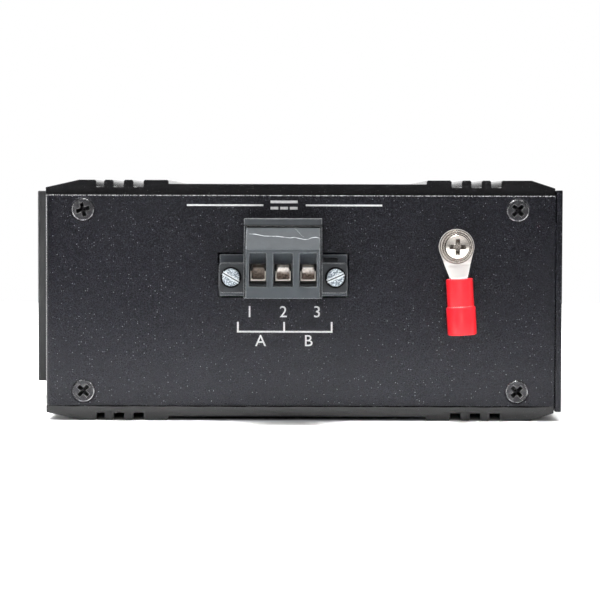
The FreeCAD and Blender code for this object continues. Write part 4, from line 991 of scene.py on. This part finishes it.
class SWITCH_OT_earth_point(SwitchPiece, bpy.types.Operator):
    """Dress the earth screw with its washers, the ring lug and its sleeve"""

    bl_idname = "switch.earth_point"
    bl_label = "Earth point"

    def screw(self, finish):
        """A pan head with a cross recess."""
        low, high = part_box("ground_screw")
        radius, length = (high.z - low.z) / 2, high.y - low.y
        head, crown, shank, dome = 2.0 * MM, 0.4 * MM, 1.5 * MM, 4.6 * MM
        edge = math.degrees(math.acos((radius - crown) / dome))
        profile = arc((0, -dome), dome, 90, edge, 12)
        profile += arc((radius - crown, profile[-1][1] - crown), crown, 65, 0)
        shape = lathe("screw", shanked(profile, radius, head, shank, length))
        shape = carved(shape, *cross_cutters(2.05 * MM, 0.95 * MM, 1.6 * MM))
        set_out("ground_screw", shape, [(seat((low, high), y=low.y), TOWARDS_CAMERA, 0)], finish)

    def sleeve(self, finish):
        """The insulating sleeve, turned about the wire's axis."""
        mount = MOUNTS["earth_sleeve"]
        start, grip, end = -8.55 * MM, -2.75 * MM, 3.05 * MM
        thin, wide, bore, lip = 2.75 * MM, 3.0 * MM, 2.3 * MM, 0.3 * MM
        barrel, barrel_end, mouth = 1.72 * MM, -3.05 * MM, start + 0.15 * MM
        profile = [(barrel, mouth), *arc((thin - lip, start + lip), lip, 250, 360)]
        profile += [(thin, grip - 0.1 * MM), (wide - 0.1 * MM, grip + 0.05 * MM), (wide, grip + 0.2 * MM)]
        profile += [*arc((wide - lip, end - lip), lip, 0, 90), (bore, end - 0.1 * MM)]
        profile += [(bore, barrel_end), (barrel, barrel_end), (barrel, mouth)]
        piece = lathe("lug_sleeve_dressed", profile)
        turn = UP.rotation_difference(Vector(mount["axis"])).to_matrix().to_4x4()
        piece.data.transform(Matrix.Translation(mount["pos_m"]) @ turn)
        smoothed(piece.data)
        dressed(piece, finish, "lug_sleeve")

    def execute(self, context):
        sizes, colours = settings(context)
        ring_shade_brown, washer_edge, gap = (0.09, 0.07, 0.055), 0.12 * MM, 0.25 * MM
        nickel = metal("nickel_steel", colours.nickel, 0.2, (0.6, 0.56, 0.5), 0.001 * MM, 0.85)
        tin = metal("tinned_copper", colours.tin, 0.5, (0.98, 0.965, 0.94), metallic=0.05)
        centre = seat(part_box("ground_screw"))
        # Painted shade: the lug darker round the screw than on its tongue below
        tin.grade((0.5, 0.475, 0.45), "Z", centre.z - 3.9 * MM, centre.z - 2.9 * MM, 0.75)
        # Painted shade: thin brown rings at the rims of the screw's head and of each washer, on the nickel
        # and the tin
        for node in ("ground_screw", "ground_spring_washer", "ground_flat_washer"):
            low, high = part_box(node)
            for plating in (nickel, tin):
                ring = plating.ring(centre, (high.x - low.x) / 2, gap)
                plating.tint(plating.times(ring, 0.9), ring_shade_brown)
        # Painted shade in the hollows of the screw and washers
        nickel.deepen(ring_shade_brown, 1.1 * MM, 0.85)
        self.screw(nickel)
        for node in ("ground_flat_washer", "ground_spring_washer"):
            coated(node, washer_edge, nickel)
        coated("ring_lug", sizes.pressed_edge, tin)
        vinyl = Finish(
            "red_vinyl", colours.sleeve, 0.34, Subsurface_Weight=0.2, Subsurface_Scale=1.0 * MM,
            Specular_IOR_Level=0.35,
        )
        vinyl.stain((0.8, 0.02, 0.03), 2 * MM, 0.4, 0.7, 0.4)
        # Pale rims that are painted highlights as well as rubbed wear
        self.sleeve(vinyl.rub(0.2 * MM, (1.0, 0.4, 0.36), 0.1, 0.6).relief(1.1 * MM, 0.02 * MM))
        return {"FINISHED"}


class SWITCH_OT_ports(SwitchPiece, bpy.types.Operator):
    """Dress the two port blocks with their contact wires, and the status lights"""

    bl_idname = "switch.ports"
    bl_label = "Ports and lights"

    def wire(self):
        """One contact wire, bent up from its foot towards its back."""
        width, thickness = 0.36 * MM, 0.28 * MM
        path = (
            (7.4, 0.2), (6.9, 0.25), (6.3, 0.48), (5.0, 1.05), (3.0, 1.95), (1.2, 2.78), (0.5, 3.12),
            (0.1, 3.25),
        )
        points = [Vector((along, 0, rise)) * MM for along, rise in path]
        return strip("wire", points, [Vector((0, width, 0))] * len(points), thickness)

    def finger(self):
        """One side spring of a port, in a frame whose Z axis points out of the panel."""
        wall, width, thickness = 5.95, 2.6 * MM, 0.14 * MM
        path = ((0.04, -0.36), (0.14, -0.9), (0.42, -1.9), (0.4, -2.3), (0.12, -3.5), (0.08, -3.9))
        points = [Vector((0, wall - inward, depth)) * MM for inward, depth in path]
        return strip("finger", points, [Vector((width, 0, 0))] * len(points), thickness)

    def execute(self, context):
        sizes, colours = settings(context)
        shield = metal("shield_metal", (0.4, 0.4, 0.41), 0.36, (0.3, 0.3, 0.31))
        core = plastic("insert_plastic", (0.02, 0.02, 0.022), 0.4)
        for block in (1, 2):
            coated(f"port_shield_{block}", sizes.pressed_edge, shield)
            coated(f"port_insert_{block}", sizes.pressed_edge, core)
        gold = metal("contact_gold", colours.gold, 0.25, (0.6, 0.4, 0.15))
        spots = []
        for low, high in solids("port_contacts"):
            spots.append((seat((low, high), x=low.x, z=low.z), UP, 0))
        set_out("port_contacts", self.wire(), spots, gold)
        spring_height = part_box("port_contacts")[0].z + 3.6 * MM
        spots = []
        for port in range(1, 9):
            place = Vector((PANEL_FACE, MOUNTS[f"port_{port}"]["pos_m"][1], spring_height))
            spots += [(place, OUT_OF_PANEL, turn) for turn in (0, 180)]
        carried(scattered("port_side_springs", self.finger(), spots, shield), shield, "port_shield_1")
        clear = Finish("light_pipe", (0.75, 0.78, 0.74), 0.22, Transmission_Weight=0.6, IOR=1.49)
        coated("status_light_pipes", sizes.moulded_edge, clear.relief(0.8 * MM, 0.01 * MM))
        return {"FINISHED"}


class SWITCH_OT_board(SwitchPiece, bpy.types.Operator):
    """Dress the board and what it carries inside the case"""

    bl_idname = "switch.board"
    bl_label = "Board inside"

    def execute(self, context):
        mask = Finish("circuit_board", (0.004, 0.026, 0.012), 0.35)
        mask.stain((0.009, 0.06, 0.026), 1.5 * MM, 0.55, 0.6, 0.7, detail=1.0)
        finishes = {
            "circuit_board": mask.relief(0.8 * MM, 0.02 * MM, detail=1.0),
            "chip_plastic": plastic("chip_plastic", (0.03, 0.03, 0.032), 0.5),
            "post_plastic": plastic("post_plastic", (0.75, 0.74, 0.7), 0.4),
            "heat_block_metal": metal("heat_block_metal", (0.8, 0.8, 0.81), 0.35, (0.68, 0.68, 0.7)),
            "heat_pad_rubber": plastic("heat_pad_rubber", (0.32, 0.42, 0.55), 0.7),
            "contact_metal": metal("pin_tin", (0.8, 0.78, 0.74), 0.25, (0.6, 0.58, 0.54)),
            "zinc_steel": metal("insert_zinc", (0.66, 0.69, 0.72), 0.32, (0.5, 0.5, 0.52)),
        }
        for node in (
            "main_board", "standoffs", "header_pins", "flange_bushes", "ground_nut", "status_lights",
            "switch_chip", "heat_pad", "heat_block", "magnetics", "power_inductor", "memory_chips",
            "capacitors",
        ):
            coated(node, context.scene.switch_sizes.pressed_edge, finishes[SLOTS[node]])
        return {"FINISHED"}


class SWITCH_OT_marks(SwitchPiece, bpy.types.Operator):
    """Print plain marks by the terminal and numbers over the ports"""

    bl_idname = "switch.marks"
    bl_label = "Marks"

    def plate_marks(self, sizes):
        """Pole numbers and two letters under a bracket rule, and a direct-current sign between two rules."""
        centre = seat(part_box("plug_housing")).x
        front = PLATE_FACE - sizes.ink / 2
        poles, letters = 22.6 * MM, 16.6 * MM
        marks = []
        for body, x, z in (
            ("1", -7.0 * MM, poles), ("2", 0.0, poles), ("3", 7.0 * MM, poles),
            ("A", -4.7 * MM, letters), ("B", 5.2 * MM, letters),
        ):
            place = facing_camera((centre + x, front, z))
            marks.append(printed(body, sizes.large_mark, sizes.ink, place))
        thin, thick, dash = 0.35 * MM, 0.55 * MM, -2.7 * MM
        left, right, bottom, top = -9.6 * MM, 10.2 * MM, 18.4 * MM, 20.6 * MM
        strokes = [(x, 44.6 * MM, 15.8 * MM, thin) for x in (-20.0 * MM, 4.6 * MM)]
        strokes.append((dash, 45.2 * MM, 5.6 * MM, thick))
        strokes += [(dash + 2.0 * MM * step, 43.9 * MM, 1.6 * MM, thick) for step in range(3)]
        strokes.append((left, bottom, right - left, thin))
        strokes += [(x, bottom + thin, thin, top - bottom - thin) for x in (left, 0.0, right - thin)]
        for x, z, width, height in strokes:
            corner = Vector((centre + x, PLATE_FACE - sizes.ink, z))
            marks.append(bar("stroke", corner, corner + Vector((width, sizes.ink, height))))
        return joined("end_plate_marks", marks)

    def port_marks(self, sizes):
        """The ports' numbers, over the port blocks."""
        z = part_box("port_shield_1")[1].z + 2.2 * MM
        numbers = []
        for port in range(1, 9):
            place = facing_out((PANEL_FACE + sizes.ink / 2, MOUNTS[f"port_{port}"]["pos_m"][1], z))
            numbers.append(printed(str(port), sizes.small_mark, sizes.ink, place))
        return joined("port_numbers", numbers)

    def execute(self, context):
        sizes, colours = settings(context)
        ink = Finish("mark_ink", colours.ink, 0.6)
        ink.stain((0.35, 0.35, 0.35), 0.35 * MM, 0.45, 0.7, 0.6, detail=2.0)
        carried(self.plate_marks(sizes), ink, "chassis_tray")
        carried(self.port_marks(sizes), ink, "front_panel")
        return {"FINISHED"}


class SWITCH_OT_stage(SwitchPiece, bpy.types.Operator):
    """Make the pale floor, the soft light and the camera"""

    bl_idname = "switch.stage"
    bl_label = "Stage"

    def lamp(self, name, place, target, size, power, beam=180):
        """A soft light that points at a spot, its beam as wide as an angle in degrees."""
        light = bpy.data.lights.new(name, "AREA")
        light.shape = "RECTANGLE"
        light.size, light.size_y = size
        light.energy = power
        light.spread = math.radians(beam)
        holder = linked(name, light)
        holder.location = place
        holder.rotation_mode = "QUATERNION"
        holder.rotation_quaternion = (Vector(target) - Vector(place)).to_track_quat("-Z", "Y")
        holder.visible_camera = False

    def studio(self, scene):
        """A white room that is dim at eye level behind the camera and bright overhead."""
        dim = 0.25
        world = bpy.data.worlds.new("studio")
        world.use_nodes = True
        room = Graph(world.node_tree)
        way = room.node("ShaderNodeSeparateXYZ", Vector=room.node("ShaderNodeTexCoord")["Generated"])
        strength = room.node("ShaderNodeLightPath")["Is Camera Ray"]
        for axis, start, end in (("Y", -0.4, 0.5), ("Z", 0.2, 0.75)):
            level = room.between(way[axis], start, end, dim)
            strength = room.maths("ShaderNodeMath", "MAXIMUM", strength, level)["Value"]
        room.fill(world.node_tree.nodes["Background"], Color=(1, 1, 1, 1), Strength=strength)
        scene.world = world

    def execute(self, context):
        colours = context.scene.switch_colours
        shape = bmesh.new()
        bmesh.ops.create_grid(shape, x_segments=1, y_segments=1, size=0.45)
        floor = linked("floor", mesh_from("floor", shape))
        paper = Finish("floor_paper", colours.floor, 0.8).relief(1.5 * MM, 0.01 * MM)
        floor.data.materials.append(paper.material)
        self.studio(context.scene)
        self.lamp("top_softbox", (-0.1, 0.14, 0.6), (0, 0.06, 0), (0.7, 0.5), 11.0)
        self.lamp("left_strip", (-0.55, 0.3, 0.12), (-0.05, -0.07, 0.025), (0.05, 0.3), 1.5)
        self.lamp("front_strip", (-0.04, -0.65, 0.15), (-0.01, -0.07, 0.03), (0.5, 0.02), 0.0125, 9)
        self.lamp("floor_light", (-0.06, -0.165, 0.5), (-0.06, -0.165, 0), (0.32, 0.08), 0.85, 26)
        camera = linked("camera", bpy.data.cameras.new("camera"))
        pixels_across, focal_pixels = 600, 2077
        camera.data.sensor_width = 36.0
        camera.data.lens = focal_pixels / pixels_across * camera.data.sensor_width
        camera.data.clip_start, camera.data.clip_end = 0.01, 20.0
        tilt = Matrix.Rotation(math.radians(90 - 2.6), 4, "X")
        roll = Matrix.Rotation(math.radians(0.15), 4, "Z")
        camera.matrix_world = Matrix.Translation((3.05 * MM, -500 * MM, 44.7 * MM)) @ tilt @ roll
        context.scene.camera = camera
        context.scene.view_settings.view_transform = "Standard"
        return {"FINISHED"}


PIECES = (
    SWITCH_OT_walls, SWITCH_OT_cover_screws, SWITCH_OT_rail_bracket, SWITCH_OT_terminal, SWITCH_OT_clamps,
    SWITCH_OT_earth_point, SWITCH_OT_ports, SWITCH_OT_board, SWITCH_OT_marks, SWITCH_OT_stage,
)


class SWITCH_PT_pieces(bpy.types.Panel):
    """Lists the pieces in the sidebar"""

    bl_idname = "SWITCH_PT_pieces"
    bl_label = "Ethernet switch"
    bl_space_type = "VIEW_3D"
    bl_region_type = "UI"
    bl_category = "Switch"

    def draw(self, context):
        for piece in PIECES:
            self.layout.operator(piece.bl_idname)
        for group in (context.scene.switch_sizes, context.scene.switch_colours):
            box = self.layout.box()
            for name in group.__annotations__:
                box.prop(group, name)


CLASSES = (SwitchSizes, SwitchColours, *PIECES, SWITCH_PT_pieces)


def register():
    for item in CLASSES:
        bpy.utils.register_class(item)
    bpy.types.Scene.switch_sizes = bpy.props.PointerProperty(type=SwitchSizes)
    bpy.types.Scene.switch_colours = bpy.props.PointerProperty(type=SwitchColours)


def unregister():
    del bpy.types.Scene.switch_colours
    del bpy.types.Scene.switch_sizes
    for item in reversed(CLASSES):
        bpy.utils.unregister_class(item)


def main():
    """Register the add-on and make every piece."""
    register()
    for piece in PIECES:
        group, name = piece.bl_idname.split(".")
        getattr(getattr(bpy.ops, group), name)()


if __name__ == "__main__":
    main()
